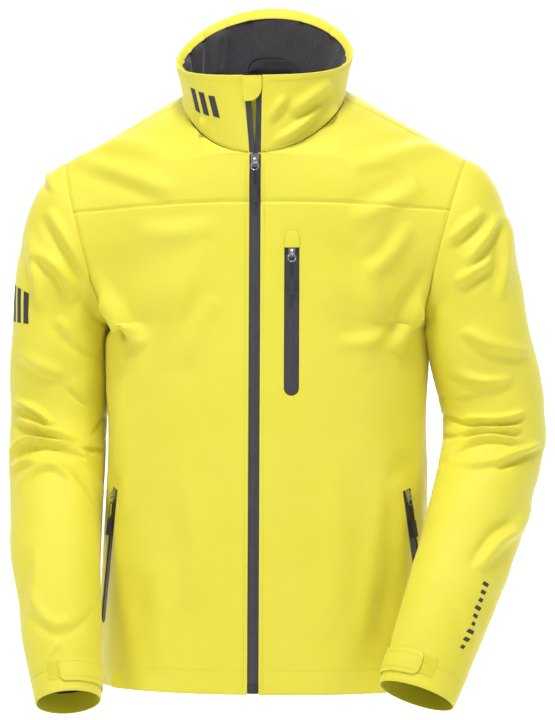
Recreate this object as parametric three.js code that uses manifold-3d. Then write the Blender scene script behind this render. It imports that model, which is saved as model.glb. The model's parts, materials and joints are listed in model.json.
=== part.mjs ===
// A sailing jacket: a waterproof shell with a stand-up collar, a full-length front zip, a chest pocket,
// two hand pockets and articulated sleeves with tabbed cuffs.
// Millimetres. +Z is up, the front faces -Y, and +X is the wearer's left.
// The shapes are worked out with Z = 0 at the hem; the last lines move the origin to the hang loop.

import * as THREE from "three";
import { mergeVertices } from "three/addons/utils/BufferGeometryUtils.js";
import Module from "manifold-3d";

const wasm = await Module();
wasm.setup();

const { lerp, smoothstep, clamp, degToRad } = THREE.MathUtils;

// Driving dimensions of the body
const CHEST_HALF_WIDTH = 190;
const WAIST_EXTRA = 6;
const HEM_EXTRA = 15;
const SHOULDER_EXTRA = 55;
const BODY_LENGTH = 740;
const WAIST_HEIGHT = 240;
const ARMHOLE_DROP = 302;
const YOKE_DROP = 160;
const NECK_DROP = 102;
const SHOULDER_DROP = 104;
const NECK_SIDE_DROP = 30;
const FRONT_DEPTH_AT_HEM = 134;
const FRONT_DEPTH_AT_NECK = 110;
const BACK_DEPTH_AT_HEM = 112;
const BACK_DEPTH_AT_WAIST = 104;
const BACK_DEPTH_AT_BLADES = 126;
const NECK_HALF_WIDTH = 97;
const NECK_BACK_DEPTH = 62;
const NECK_SIDE_Y = -10;
const SIDE_SEAM_Y = 5;
const ARMHOLE_HALF_DEPTH = 72;
const CORNER_FULLNESS = 0.62;

// Collar
const COLLAR_FRONT = 90;
const COLLAR_SIDE = 51;
const COLLAR_BACK = 89;
const COLLAR_FLARE = 11;
const COLLAR_FACING_DEPTH = 0.12;

// Cloth layers: how far each lies in from the outer face, and its thickness
const SHELL = { depth: 0, thickness: 1.2 };
const TAPE = { depth: 1.6, thickness: 0.8 };
const ZIP_FACING = { depth: 3.2, thickness: 0.8 };
const COLLAR_LINING = { depth: 3, thickness: 2 };
const STORM_FLAP = { depth: 9.5, thickness: 1 };
const POCKET_BAG = { depth: 9, thickness: 0.8 };
const BODY_LINING = { depth: 12, thickness: 0.8 };
const SLEEVE_LINING = { depth: 4, thickness: 0.8 };
const SEAM_GAP = 0.6;

// Zips
const ZIP_GAP = 1.2;
const MAIN_TAPE_WIDTH = 6.3;
const POCKET_TAPE_WIDTH = 8.4;
const STOP_LENGTH = 3;
const TAPE_START = 12;
const TAPE_TOP_DROP = 14;
const COLLAR_SPREAD = { left: 2.5, right: 7 };
const FACING_EDGES = [7.5, 18];
const STORM_FLAP_HALF_WIDTH = 20;
const CHEST_ZIP = { top: [44, 528], bottom: [44, 351] };
const HAND_ZIP = { top: [CHEST_HALF_WIDTH - 14, 238], bottom: [CHEST_HALF_WIDTH * 1.0316, 75] };
const SLIT_CLEAR = 0.5;
const CHEST_BAG = { x: [27, CHEST_HALF_WIDTH - 40], z: [335, 560] };
const HAND_BAG = { x: [CHEST_HALF_WIDTH - 130, CHEST_HALF_WIDTH - 10], z: [40, 262] };
const BAG_RIM_DEPTH = 4.5;
const MAIN_SLIDER = { width: 10.5, length: 16 };
const POCKET_SLIDER = { width: 9, length: 13.5 };
const PLATE_THICKNESS = 1.8;
const BACK_PLATE_THICKNESS = 1.2;
const PLATE_CLEAR = 0.3;
const WEB_THICKNESS = 0.6;
const BRIDGE = { width: 2.2, reach: 5.6, half: 5.2, holeReach: 4.3, holeHalf: 3.9, centre: -1 };
const PIVOT_LIFT = 2.7;
const PIVOT_DROP = 2.5;
const RING = { radius: 4.6, wire: 0.7 };
const CORD_WIRE = 0.8;
const CORD_CLEAR = 0.3;
const GRIP = { width: 7, length: 21, thickness: 4 };
const PULL_CORD_LENGTH = 19;
const RETAINER = { halfWidth: 5, top: 11.4, bottom: 1, front: 0.2, back: 3.6 };
const GARAGE = { halfWidth: 8, height: 20, thickness: 1.2, clear: 0.4 };

// Sleeves: each path point is out from the shoulder tip, back from the centre plane and down from the tip,
// with the half width and half depth of the sleeve there
const SLEEVES = {
  left: {
    side: 1,
    path: [[13, 4, 206], [32, 12, 321], [-3, -92, 486], [-51, -162, 631]],
    halfWidth: [62, 62, 54, 46],
    halfDepth: [62, 60, 52, 38],
  },
  right: {
    side: -1,
    path: [[12, 4, 206], [14, 8, 326], [-2, -83, 489], [-29, -152, 645]],
    halfWidth: [57, 60, 50.5, 39],
    halfDepth: [62, 60, 52, 45],
  },
};
const SLEEVE_CAP_END = 0.3;
const ELBOW_AT = 0.47;
const CUFF_AT = 0.957;
const RING_GAP = 0.0008;
const CAP_RISE = 0.2;
const CAP_FALL = 0.5;
const TAB = { depth: -3, thickness: 1.4, free: 90, sewn: 202.5, top: 0.943, bottom: 0.982 };
const LOOP_PATCH = { depth: -1.2, thickness: 0.8, from: 67.5, to: 157.5, top: 0.947, bottom: 0.978 };

// Hang loop at the back of the neck
const LOOP = { halfSpan: 30, rise: 24, ribbon: 1.4, width: 8, crown: 9, clear: 11 };

// Heights and widths that follow from the driving dimensions
const ARMPIT_Z = BODY_LENGTH - ARMHOLE_DROP;
const YOKE_Z = BODY_LENGTH - YOKE_DROP;
const NECK_FRONT_Z = BODY_LENGTH - NECK_DROP;
const NECK_SIDE_Z = BODY_LENGTH - NECK_SIDE_DROP;
const SHOULDER_Z = BODY_LENGTH - SHOULDER_DROP;
const SHOULDER_HALF_WIDTH = CHEST_HALF_WIDTH + SHOULDER_EXTRA;
const COLLAR_FRONT_Z = NECK_FRONT_Z + COLLAR_FRONT;
const COLLAR_SIDE_Z = NECK_SIDE_Z + COLLAR_SIDE;
const COLLAR_BACK_Z = BODY_LENGTH + COLLAR_BACK;

// Rows of the body cloth: 0 at the hem, 1 along the shoulder line
const AT_ARMPIT = 0.55;
const AT_YOKE = 0.8;
const AT_NECK = 0.87;
const YOKE_ANGLE = 20;

const COLOURS = {
  shell: { color: 0xe6e412, roughness: 0.55 },
  lining: { color: 0x3a3638, roughness: 0.95 },
  bodyLining: { color: 0x4a4a4c, roughness: 0.8 },
  tape: { color: 0x34333a, roughness: 0.5 },
  metal: { color: 0x8c8c90, roughness: 0.3, metalness: 0.9 },
  cord: { color: 0x2e2d33, roughness: 0.8 },
  rubber: { color: 0x303036, roughness: 0.6 },
};

const jacket = new THREE.Group();
const vec = (x, y, z) => new THREE.Vector3(x, y, z);

function addNode(name, geometry, colour) {
  const mesh = new THREE.Mesh(geometry, new THREE.MeshStandardMaterial({ metalness: 0, ...COLOURS[colour] }));
  mesh.name = name;
  jacket.add(mesh);
}

function span(from, to, count) {
  return Array.from({ length: count + 1 }, (_, i) => lerp(from, to, i / count));
}

// A smooth curve through [place, size] pairs
function profile(pairs) {
  const slope = (i) => {
    const before = pairs[Math.max(i - 1, 0)];
    const after = pairs[Math.min(i + 1, pairs.length - 1)];
    return (after[1] - before[1]) / (after[0] - before[0]);
  };
  return (place) => {
    let i = 0;
    while (i < pairs.length - 2 && place > pairs[i + 1][0]) i += 1;
    const [from, a] = pairs[i];
    const [to, b] = pairs[i + 1];
    const width = to - from;
    const t = clamp((place - from) / width, 0, 1);
    const ease = t * t * (3 - 2 * t);
    const bend = width * (slope(i) * t * (1 - t) ** 2 - slope(i + 1) * t * t * (1 - t));
    return lerp(a, b, ease) + bend;
  };
}

// Straight steps through [place, size] pairs
function steps(pairs) {
  return (place) => {
    let i = 0;
    while (i < pairs.length - 2 && place > pairs[i + 1][0]) i += 1;
    const [from, a] = pairs[i];
    const [to, b] = pairs[i + 1];
    return lerp(a, b, clamp((place - from) / (to - from), 0, 1));
  };
}

// ---- Cloth: a patch of a surface given a thickness, with walls round every free edge ----

// Each patch is { point(u, v), us, vs, out, around }; out is 1 where du x dv faces outwards, else -1.
function thickCloth(patches, { depth, thickness }) {
  const STEP = 1e-3;
  const depthAt = typeof depth === "function" ? depth : () => depth;
  const welded = new Map();
  const corners = [];
  const faces = [];
  const weld = (patch, u, v) => {
    const place = patch.point(u, v);
    const key = [place.x, place.y, place.z].map((c) => Math.round(c * 100)).join();
    if (!welded.has(key)) {
      welded.set(key, corners.length);
      corners.push({ place, normal: vec(0, 0, 0), depth: depthAt(u, v) });
    }
    const corner = corners[welded.get(key)];
    const du = patch.point(u + STEP, v).sub(patch.point(u - STEP, v));
    const dv = patch.point(u, v + STEP).sub(patch.point(u, v - STEP));
    corner.normal.add(du.cross(dv).normalize().multiplyScalar(patch.out));
    return welded.get(key);
  };
  for (const patch of patches) {
    const grid = patch.vs.map((v) => patch.us.map((u) => weld(patch, u, v)));
    for (let j = 0; j < grid.length - 1; j += 1) {
      for (let i = 0; i < grid[j].length - 1; i += 1) {
        const quad = [grid[j][i], grid[j][i + 1], grid[j + 1][i + 1], grid[j + 1][i]];
        if (patch.out < 0) quad.reverse();
        faces.push([quad[0], quad[1], quad[2]], [quad[0], quad[2], quad[3]]);
      }
    }
  }
  const solid = faces.filter(([a, b, c]) => a !== b && b !== c && c !== a);
  const count = corners.length;
  const edges = new Set(solid.flatMap(([a, b, c]) => [`${a},${b}`, `${b},${c}`, `${c},${a}`]));
  const index = [];
  for (const [a, b, c] of solid) index.push(a, b, c, c + count, b + count, a + count);
  for (const edge of edges) {
    const [a, b] = edge.split(",").map(Number);
    if (!edges.has(`${b},${a}`)) index.push(b, a, a + count, b, a + count, b + count);
  }
  const layer = (extra) =>
    corners.flatMap((c) => c.place.clone().addScaledVector(c.normal.clone().normalize(), -c.depth - extra).toArray());
  const geometry = new THREE.BufferGeometry();
  geometry.setAttribute("position", new THREE.Float32BufferAttribute([...layer(0), ...layer(thickness)], 3));
  geometry.setIndex(index);
  return geometry;
}

function toSolid(geometry) {
  const bare = geometry.clone();
  bare.deleteAttribute("normal");
  bare.deleteAttribute("uv");
  const merged = mergeVertices(bare, 1e-3);
  const vertProperties = new Float32Array(merged.attributes.position.array);
  return new wasm.Manifold(new wasm.Mesh({ numProp: 3, vertProperties, triVerts: new Uint32Array(merged.index.array) }));
}

function toGeometry(solid) {
  const { vertProperties, triVerts, numProp } = solid.getMesh();
  const places = new Float32Array((vertProperties.length / numProp) * 3);
  for (let i = 0; i < places.length; i += 1) places[i] = vertProperties[Math.floor(i / 3) * numProp + (i % 3)];
  const geometry = new THREE.BufferGeometry();
  geometry.setAttribute("position", new THREE.BufferAttribute(places, 3));
  geometry.setIndex([...triVerts]);
  return geometry;
}

function cut(geometry, ...tools) {
  return toGeometry(tools.reduce((solid, tool) => solid.subtract(toSolid(tool)), toSolid(geometry)));
}

function join(...geometries) {
  return toGeometry(geometries.map(toSolid).reduce((all, next) => all.add(next)));
}

function block(x0, x1, y0, y1, z0, z1) {
  return new THREE.BoxGeometry(x1 - x0, y1 - y0, z1 - z0).translate((x0 + x1) / 2, (y0 + y1) / 2, (z0 + z1) / 2);
}

// ---- The body's outer face ----

const halfWidth = profile([
  [0, CHEST_HALF_WIDTH + HEM_EXTRA],
  [WAIST_HEIGHT, CHEST_HALF_WIDTH + WAIST_EXTRA],
  [ARMPIT_Z, CHEST_HALF_WIDTH],
]);
const frontY = (z) => -lerp(FRONT_DEPTH_AT_HEM, FRONT_DEPTH_AT_NECK, z / NECK_FRONT_Z);
const backY = profile([
  [0, BACK_DEPTH_AT_HEM],
  [WAIST_HEIGHT, BACK_DEPTH_AT_WAIST],
  [ARMPIT_Z + 50, BACK_DEPTH_AT_BLADES],
  [YOKE_Z + 30, BACK_DEPTH_AT_BLADES - 10],
  [NECK_SIDE_Z - 20, lerp(NECK_BACK_DEPTH, BACK_DEPTH_AT_BLADES, 0.45)],
  [BODY_LENGTH, NECK_BACK_DEPTH],
]);

// A value that goes from front through side to back as the turn goes from -90 through 0 to 90 degrees
function turning(front, side, back, turn) {
  const s = Math.sin(degToRad(turn));
  return side + ((back - front) / 2) * s + ((back + front) / 2 - side) * s * s;
}

function neck(turn) {
  return vec(
    NECK_HALF_WIDTH * Math.cos(degToRad(turn)),
    turning(-FRONT_DEPTH_AT_NECK, NECK_SIDE_Y, NECK_BACK_DEPTH, turn),
    turning(NECK_FRONT_Z, NECK_SIDE_Z, BODY_LENGTH, turn),
  );
}

// The armhole is an ellipse in a leaning plane: -90 at the armpit, 90 at the shoulder tip
function armhole(angle, facing) {
  const s = Math.sin(degToRad(angle));
  return vec(
    lerp(CHEST_HALF_WIDTH, SHOULDER_HALF_WIDTH, (s + 1) / 2),
    SIDE_SEAM_Y + facing * ARMHOLE_HALF_DEPTH * Math.cos(degToRad(angle)),
    lerp(ARMPIT_Z, SHOULDER_Z, (s + 1) / 2),
  );
}

const centreFrontZ = steps([[0, 0], [AT_ARMPIT, ARMPIT_Z], [AT_YOKE, YOKE_Z], [AT_NECK, NECK_FRONT_Z]]);
const centreBackZ = steps([[0, 0], [AT_ARMPIT, ARMPIT_Z], [AT_YOKE, YOKE_Z + 20], [AT_NECK, BODY_LENGTH]]);
const armholeAngle = steps([[AT_ARMPIT, -90], [AT_YOKE, YOKE_ANGLE], [1, 90]]);

function rowStart(v, facing) {
  if (v > AT_NECK) return neck((facing * 90 * (1 - v)) / (1 - AT_NECK));
  const z = facing < 0 ? centreFrontZ(v) : centreBackZ(v);
  return vec(0, facing < 0 ? frontY(z) : backY(z), z);
}

function rowEnd(v, facing) {
  if (v > AT_ARMPIT) return armhole(armholeAngle(v), facing);
  const z = lerp(0, ARMPIT_Z, v / AT_ARMPIT);
  return vec(halfWidth(z), SIDE_SEAM_Y, z);
}

// One point of the body: u runs from the centre line (0) to the side seam or armhole (1).
// facing is -1 on the front and 1 on the back; side is 1 on the wearer's left.
function body(side, facing, u, v) {
  const start = rowStart(v, facing);
  const end = rowEnd(v, facing);
  const across = end.clone().sub(start);
  const reach = across.length();
  const straight = across.clone().normalize();
  const toArmhole = smoothstep(v, AT_ARMPIT, AT_ARMPIT + 0.17);
  const toShoulder = smoothstep(v, AT_YOKE, 1);
  const startWay = vec(1, 0, 0).lerp(straight, toShoulder).normalize();
  const endWay = vec(0, facing, 0).lerp(straight.clone().negate(), toArmhole).normalize();
  const startPull = lerp(CORNER_FULLNESS * across.x, reach / 3, toShoulder);
  const endPull = lerp(CORNER_FULLNESS * Math.abs(across.y), reach / 3, toArmhole);
  const curve = new THREE.CubicBezierCurve3(
    start,
    start.clone().addScaledVector(startWay, startPull),
    end.clone().addScaledVector(endWay, endPull),
    end,
  );
  const place = curve.getPoint(clamp(u, 0, 1));
  if (u > 1) place.addScaledVector(curve.getTangent(1), (u - 1) * reach);
  if (u < 0) place.addScaledVector(curve.getTangent(0), u * reach);
  place.x *= side;
  return place;
}

// How far along a row the cloth is at a given distance from the centre line
function rowShare(x, facing, v) {
  let low = 0;
  let high = 1;
  for (let i = 0; i < 30; i += 1) {
    const middle = (low + high) / 2;
    if (body(1, facing, middle, v).x < x) low = middle;
    else high = middle;
  }
  return low;
}

const MARGIN_U = SEAM_GAP / 2 / SHOULDER_HALF_WIDTH;
const MARGIN_V = SEAM_GAP / BODY_LENGTH;
const FRONT_EDGE = ZIP_GAP / 2 + MAIN_TAPE_WIDTH + SEAM_GAP / 2;

// A piece of one front or back, from a distance off the centre line to the side seam
function bodyPatch(side, facing, fromX, vs, columns, reach = 1 - MARGIN_U) {
  const inner = (v) => {
    if (v > AT_NECK) return MARGIN_U * 3;
    return fromX > 0 ? rowShare(fromX, facing, v) : 0;
  };
  const point = (share, v) => body(side, facing, lerp(inner(v), reach, share), v);
  return { point, us: span(0, 1, columns), vs, out: -side * facing };
}

const LOWER_ROWS = [0, 0.035, ...span(0.08, AT_ARMPIT, 7), ...span(AT_ARMPIT + 0.05, AT_YOKE - MARGIN_V, 5)];
const YOKE_ROWS = [AT_YOKE + MARGIN_V, 0.835, AT_NECK, ...span(0.9, 1 - MARGIN_V * 2, 4)];

function bodyPanel(name, patches, layer, colour, ...slits) {
  const cloth = thickCloth(patches, layer);
  addNode(name, slits.length ? cut(cloth, ...slits) : cloth, colour);
}

// ---- A straight zip in its own frame: X across, Y into the jacket, Z up along the teeth ----

const rowAt = (z) => (z <= ARMPIT_Z
  ? (AT_ARMPIT * z) / ARMPIT_Z
  : lerp(AT_ARMPIT, AT_YOKE, (z - ARMPIT_Z) / (YOKE_Z - ARMPIT_Z)));

function onFront(side, x, z) {
  const v = rowAt(z);
  return body(side, -1, rowShare(x, -1, v), v);
}

function outwardAt(side, x, z) {
  const across = onFront(side, x + 1, z).sub(onFront(side, x - 1, z));
  const up = onFront(side, x, z + 1).sub(onFront(side, x, z - 1));
  return across.cross(up).normalize().multiplyScalar(side);
}

function zipFrame(top, bottom, outward) {
  const up = top.clone().sub(bottom).normalize();
  const inward = outward.clone().negate().addScaledVector(up, outward.dot(up)).normalize();
  const across = inward.clone().cross(up);
  return new THREE.Matrix4().makeBasis(across, inward, up).setPosition(top);
}

// Turns a flat outline, drawn across and up, into a plate from one depth to another
function plate(outline, from, to) {
  const options = { depth: to - from, bevelEnabled: false, curveSegments: 4 };
  return new THREE.ExtrudeGeometry(outline, options).rotateX(Math.PI / 2).translate(0, to, 0);
}

function taperedOutline(topHalf, bottomHalf, halfLength) {
  const outline = new THREE.Shape();
  const corner = topHalf * 0.4;
  outline.moveTo(-bottomHalf, -halfLength + corner);
  outline.quadraticCurveTo(-bottomHalf, -halfLength, 0, -halfLength);
  outline.quadraticCurveTo(bottomHalf, -halfLength, bottomHalf, -halfLength + corner);
  outline.lineTo(topHalf, halfLength - corner);
  outline.quadraticCurveTo(topHalf, halfLength, topHalf - corner, halfLength);
  outline.lineTo(corner - topHalf, halfLength);
  outline.quadraticCurveTo(-topHalf, halfLength, -topHalf, halfLength - corner);
  return outline;
}

function sliderBody({ width, length }) {
  const outline = taperedOutline(width / 2, width * 0.38, length / 2);
  const frontInner = TAPE.depth - PLATE_CLEAR;
  const frontOuter = frontInner - PLATE_THICKNESS;
  const backOuter = TAPE.depth + TAPE.thickness + PLATE_CLEAR;
  const bridge = new THREE.Shape();
  const middle = BRIDGE.centre;
  bridge.moveTo(-PLATE_THICKNESS / 2, middle - BRIDGE.half);
  bridge.lineTo(0, middle - BRIDGE.half);
  bridge.absellipse(0, middle, BRIDGE.reach, BRIDGE.half, -Math.PI / 2, Math.PI / 2, false, 0);
  bridge.lineTo(-PLATE_THICKNESS / 2, middle + BRIDGE.half);
  bridge.lineTo(-PLATE_THICKNESS / 2, middle + BRIDGE.holeHalf);
  bridge.lineTo(0, middle + BRIDGE.holeHalf);
  bridge.absellipse(0, middle, BRIDGE.holeReach, BRIDGE.holeHalf, Math.PI / 2, -Math.PI / 2, true, 0);
  bridge.lineTo(-PLATE_THICKNESS / 2, middle - BRIDGE.holeHalf);
  const arch = new THREE.ExtrudeGeometry(bridge, { depth: BRIDGE.width, bevelEnabled: false, curveSegments: 5 });
  arch.applyMatrix4(new THREE.Matrix4().makeBasis(vec(0, -1, 0), vec(0, 0, 1), vec(-1, 0, 0)));
  arch.translate(BRIDGE.width / 2, frontOuter, 0);
  const web = block(-WEB_THICKNESS / 2, WEB_THICKNESS / 2, frontInner - 0.4, backOuter + 0.4, -length / 4, length / 4);
  const back = plate(outline, backOuter, backOuter + BACK_PLATE_THICKNESS);
  return join(plate(outline, frontOuter, frontInner), arch, web, back);
}

// A closed loop of round wire along a closed curve
function wireLoop(curve, wire, stepsRound, sides) {
  const frames = curve.computeFrenetFrames(stepsRound, true);
  const places = [];
  const index = [];
  for (let i = 0; i < stepsRound; i += 1) {
    const centre = curve.getPointAt(i / stepsRound);
    for (let j = 0; j < sides; j += 1) {
      const turn = (2 * Math.PI * j) / sides;
      const rim = centre.clone().addScaledVector(frames.normals[i], wire * Math.cos(turn));
      places.push(...rim.addScaledVector(frames.binormals[i], wire * Math.sin(turn)).toArray());
      const [a, b] = [i * sides + j, i * sides + ((j + 1) % sides)];
      const next = ((i + 1) % stepsRound) * sides;
      const [c, d] = [next + ((j + 1) % sides), next + j];
      index.push(a, b, c, a, c, d);
    }
  }
  const geometry = new THREE.BufferGeometry();
  geometry.setAttribute("position", new THREE.Float32BufferAttribute(places, 3));
  geometry.setIndex(index);
  return toSolid(geometry).volume() < 0 ? turnedOver(geometry) : geometry;
}

function turnedOver(geometry) {
  const index = [...geometry.index.array];
  for (let i = 0; i < index.length; i += 3) [index[i + 1], index[i + 2]] = [index[i + 2], index[i + 1]];
  return geometry.clone().setIndex(index);
}

const PIVOT_Y = TAPE.depth - PLATE_CLEAR - PLATE_THICKNESS - PIVOT_LIFT;
const RING_BOTTOM = -PIVOT_DROP - 2 * RING.radius;
const CORD_REACH = RING.wire + CORD_WIRE + CORD_CLEAR;
const CORD_TOP = RING_BOTTOM + CORD_REACH;
const CORD_BOTTOM = CORD_TOP - PULL_CORD_LENGTH;

function pullRing() {
  const points = span(0, 2 * Math.PI, 12).slice(0, -1).map((turn) =>
    vec(RING.radius * Math.sin(turn), PIVOT_Y, RING.radius * (Math.cos(turn) - 1) - PIVOT_DROP));
  return wireLoop(new THREE.CatmullRomCurve3(points, true), RING.wire, 16, 6);
}

function pullCord() {
  const straight = CORD_TOP - CORD_BOTTOM - 2 * CORD_REACH;
  const end = (z, from) => span(from, from + Math.PI, 4).map((turn) =>
    vec(0, PIVOT_Y + CORD_REACH * Math.cos(turn), z + CORD_REACH * Math.sin(turn)));
  const upper = CORD_TOP - CORD_REACH;
  const points = [...end(upper, 0), vec(0, PIVOT_Y - CORD_REACH, upper - straight / 2),
    ...end(upper - straight, Math.PI), vec(0, PIVOT_Y + CORD_REACH, upper - straight / 2)];
  return wireLoop(new THREE.CatmullRomCurve3(points, true), CORD_WIRE, 22, 6);
}

function pullGrip() {
  const outline = taperedOutline(GRIP.width * 0.38, GRIP.width / 2, GRIP.length / 2);
  const top = CORD_BOTTOM - CORD_WIRE - CORD_CLEAR;
  return plate(outline, PIVOT_Y - GRIP.thickness / 2, PIVOT_Y + GRIP.thickness / 2).translate(0, 0, top - GRIP.length / 2);
}

function addSlider(zip, size, frame) {
  const place = (geometry) => geometry.applyMatrix4(frame);
  addNode(`${zip}_slider`, place(sliderBody(size)), "metal");
  addNode(`${zip}_pull_ring`, place(pullRing()), "metal");
  addNode(`${zip}_pull_cord`, place(pullCord()), "cord");
  addNode(`${zip}_pull_grip`, place(pullGrip()), "rubber");
}

function addPocketZip(zip, side, { top, bottom }) {
  const middle = [(top[0] + bottom[0]) / 2, (top[1] + bottom[1]) / 2];
  const start = onFront(side, ...top);
  const end = onFront(side, ...bottom);
  const frame = zipFrame(start, end, outwardAt(side, ...middle));
  const length = start.distanceTo(end);
  const half = ZIP_GAP / 2;
  const tape = (from, to) => block(from, to, TAPE.depth, TAPE.depth + TAPE.thickness, -length, 0);
  const stop = block(-half - 1, half + 1, TAPE.depth, TAPE.depth + TAPE.thickness, -length, STOP_LENGTH - length);
  const tapes = join(tape(half, half + POCKET_TAPE_WIDTH), tape(-half - POCKET_TAPE_WIDTH, -half), stop);
  addNode(`${zip}_tapes`, tapes.applyMatrix4(frame), "tape");
  const sliderAt = new THREE.Matrix4().makeTranslation(0, 0, -POCKET_SLIDER.length / 2);
  addSlider(zip, POCKET_SLIDER, frame.clone().multiply(sliderAt));
  return { frame, length };
}

function slitFor({ frame, length }) {
  const half = ZIP_GAP / 2 + POCKET_TAPE_WIDTH + SLIT_CLEAR;
  return block(-half, half, -12, TAPE.depth + TAPE.thickness + 6, -length - SLIT_CLEAR, SLIT_CLEAR).applyMatrix4(frame);
}

// ---- Front panels, yokes, back ----

const chestZip = addPocketZip("chest_zip", 1, CHEST_ZIP);
const handZips = {
  left: addPocketZip("left_pocket_zip", 1, HAND_ZIP),
  right: addPocketZip("right_pocket_zip", -1, HAND_ZIP),
};

for (const [name, side] of [["left", 1], ["right", -1]]) {
  const slits = [slitFor(handZips[name])];
  if (name === "left") slits.push(slitFor(chestZip));
  bodyPanel(`${name}_front_panel`, [bodyPatch(side, -1, FRONT_EDGE, LOWER_ROWS, 9)], SHELL, "shell", ...slits);
  bodyPanel(`${name}_front_yoke`, [bodyPatch(side, -1, FRONT_EDGE, YOKE_ROWS, 7)], SHELL, "shell");
  const liningRows = [0.02, ...span(0.1, AT_ARMPIT, 4), 0.65, 0.74, 0.82, AT_NECK - 0.01, 0.9, 0.94, 0.985];
  bodyPanel(`${name}_front_lining`, [bodyPatch(side, -1, FACING_EDGES[1], liningRows, 6, 0.985)], BODY_LINING, "bodyLining");
  const facingRows = [0.004, ...span(0.1, AT_YOKE, 5), AT_NECK - 0.004];
  const [near, far] = FACING_EDGES;
  const facing = {
    point: (share, v) => body(side, -1, lerp(rowShare(near, -1, v), rowShare(far, -1, v), share), v),
    us: [0, 1],
    vs: facingRows,
    out: side,
  };
  bodyPanel(`${name}_zip_facing`, [facing], ZIP_FACING, "shell");
}

const bothBacks = (rows, columns, reach) => [1, -1].map((side) => bodyPatch(side, 1, 0, rows, columns, reach));
bodyPanel("back_panel", bothBacks(LOWER_ROWS, 8), SHELL, "shell");
bodyPanel("back_yoke", bothBacks(YOKE_ROWS, 7), SHELL, "shell");
const backLiningRows = [0.02, ...span(0.1, AT_ARMPIT, 4), 0.65, 0.74, 0.82, AT_NECK - 0.01];
bodyPanel("back_lining", bothBacks(backLiningRows, 6, 0.985), BODY_LINING, "bodyLining");

// ---- Pocket bags: shallow trays behind the fronts, open towards the zip ----

function pocketBag(name, side, { x, z }, openEnd) {
  const [x0, x1] = x;
  const columns = 6;
  const rows = span(rowAt(z[0]), rowAt(z[1]), 6);
  const point = (share, v) => body(side, -1, lerp(rowShare(x0, -1, v), rowShare(x1, -1, v), share), v);
  const depth = (share, v) => {
    const onRim = share === 0 || (share === 1 && !openEnd) || v === rows[0] || v === rows[rows.length - 1];
    return onRim ? BAG_RIM_DEPTH : POCKET_BAG.depth;
  };
  const bag = thickCloth([{ point, us: span(0, 1, columns), vs: rows, out: side }], { ...POCKET_BAG, depth });
  addNode(name, bag, "bodyLining");
}

pocketBag("chest_pocket_bag", 1, CHEST_BAG, false);
pocketBag("left_pocket_bag", 1, HAND_BAG, true);
pocketBag("right_pocket_bag", -1, HAND_BAG, true);

const dome = new THREE.Shape();
dome.moveTo(-GARAGE.halfWidth, 0);
dome.lineTo(GARAGE.halfWidth, 0);
dome.lineTo(GARAGE.halfWidth, GARAGE.height - GARAGE.halfWidth);
dome.absarc(0, GARAGE.height - GARAGE.halfWidth, GARAGE.halfWidth, 0, Math.PI, false);
const garage = plate(dome, -GARAGE.clear - GARAGE.thickness, -GARAGE.clear).translate(0, 0, 2 * GARAGE.clear);
addNode("chest_zip_garage", garage.applyMatrix4(chestZip.frame), "shell");

// ---- Collar ----

const COLLAR_FRONT_Y = -FRONT_DEPTH_AT_NECK - 8;
const COLLAR_BACK_Y = NECK_BACK_DEPTH + 10;

function collarTop(turn) {
  return vec(
    (NECK_HALF_WIDTH + COLLAR_FLARE) * Math.cos(degToRad(turn)),
    turning(COLLAR_FRONT_Y, NECK_SIDE_Y - 5, COLLAR_BACK_Y, turn),
    turning(COLLAR_FRONT_Z, COLLAR_SIDE_Z, COLLAR_BACK_Z, turn),
  );
}

// The collar between a height from 0 at the neck seam to 1 at its top edge, from one front edge to the other
function collarPatch(low, high, rows, columns) {
  const edge = (spread, height) => {
    const x = FRONT_EDGE + spread * height;
    return THREE.MathUtils.radToDeg(Math.asin(x / (NECK_HALF_WIDTH + COLLAR_FLARE * height)));
  };
  const point = (share, height) => {
    const from = -90 + edge(COLLAR_SPREAD.left, height);
    const to = 270 - edge(COLLAR_SPREAD.right, height);
    const turn = lerp(from, to, share);
    return neck(turn).lerp(collarTop(turn), height);
  };
  return { point, us: span(0, 1, columns), vs: span(low, high, rows), out: 1 };
}

const COLLAR_MARGIN = SEAM_GAP / COLLAR_FRONT;
bodyPanel("collar_shell", [collarPatch(COLLAR_MARGIN, 1, 4, 28)], SHELL, "shell");
const facingFrom = 1 - COLLAR_FACING_DEPTH;
bodyPanel("collar_lining", [collarPatch(0.03, facingFrom - COLLAR_MARGIN, 3, 28)], COLLAR_LINING, "lining");
bodyPanel("collar_facing", [collarPatch(facingFrom, 1, 1, 28)], { ...COLLAR_LINING, thickness: SHELL.thickness }, "shell");

const neckTape = collarPatch(0, 0.12, 1, 10);
neckTape.us = span(0.36, 0.64, 10);
bodyPanel("neck_tape", [neckTape], { depth: 5.4, thickness: 0.8 }, "tape");

// ---- Main zip ----

// The centre front: straight up the body, then up the collar
function zipLine(z) {
  const height = clamp((z - NECK_FRONT_Z) / COLLAR_FRONT, 0, 1);
  return { height, y: height > 0 ? lerp(-FRONT_DEPTH_AT_NECK, COLLAR_FRONT_Y, height) : frontY(z) };
}

const zipTop = COLLAR_FRONT_Z - TAPE_TOP_DROP;
for (const [name, side] of [["left", 1], ["right", -1]]) {
  const point = (share, z) => {
    const { height, y } = zipLine(z);
    return vec(side * (ZIP_GAP / 2 + COLLAR_SPREAD[name] * height + share * MAIN_TAPE_WIDTH), y, z);
  };
  const vs = [TAPE_START, NECK_FRONT_Z / 2, NECK_FRONT_Z, zipTop];
  bodyPanel(`main_zip_${name}_tape`, [{ point, us: [0, 1], vs, out: side }], TAPE, "tape");
}

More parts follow.
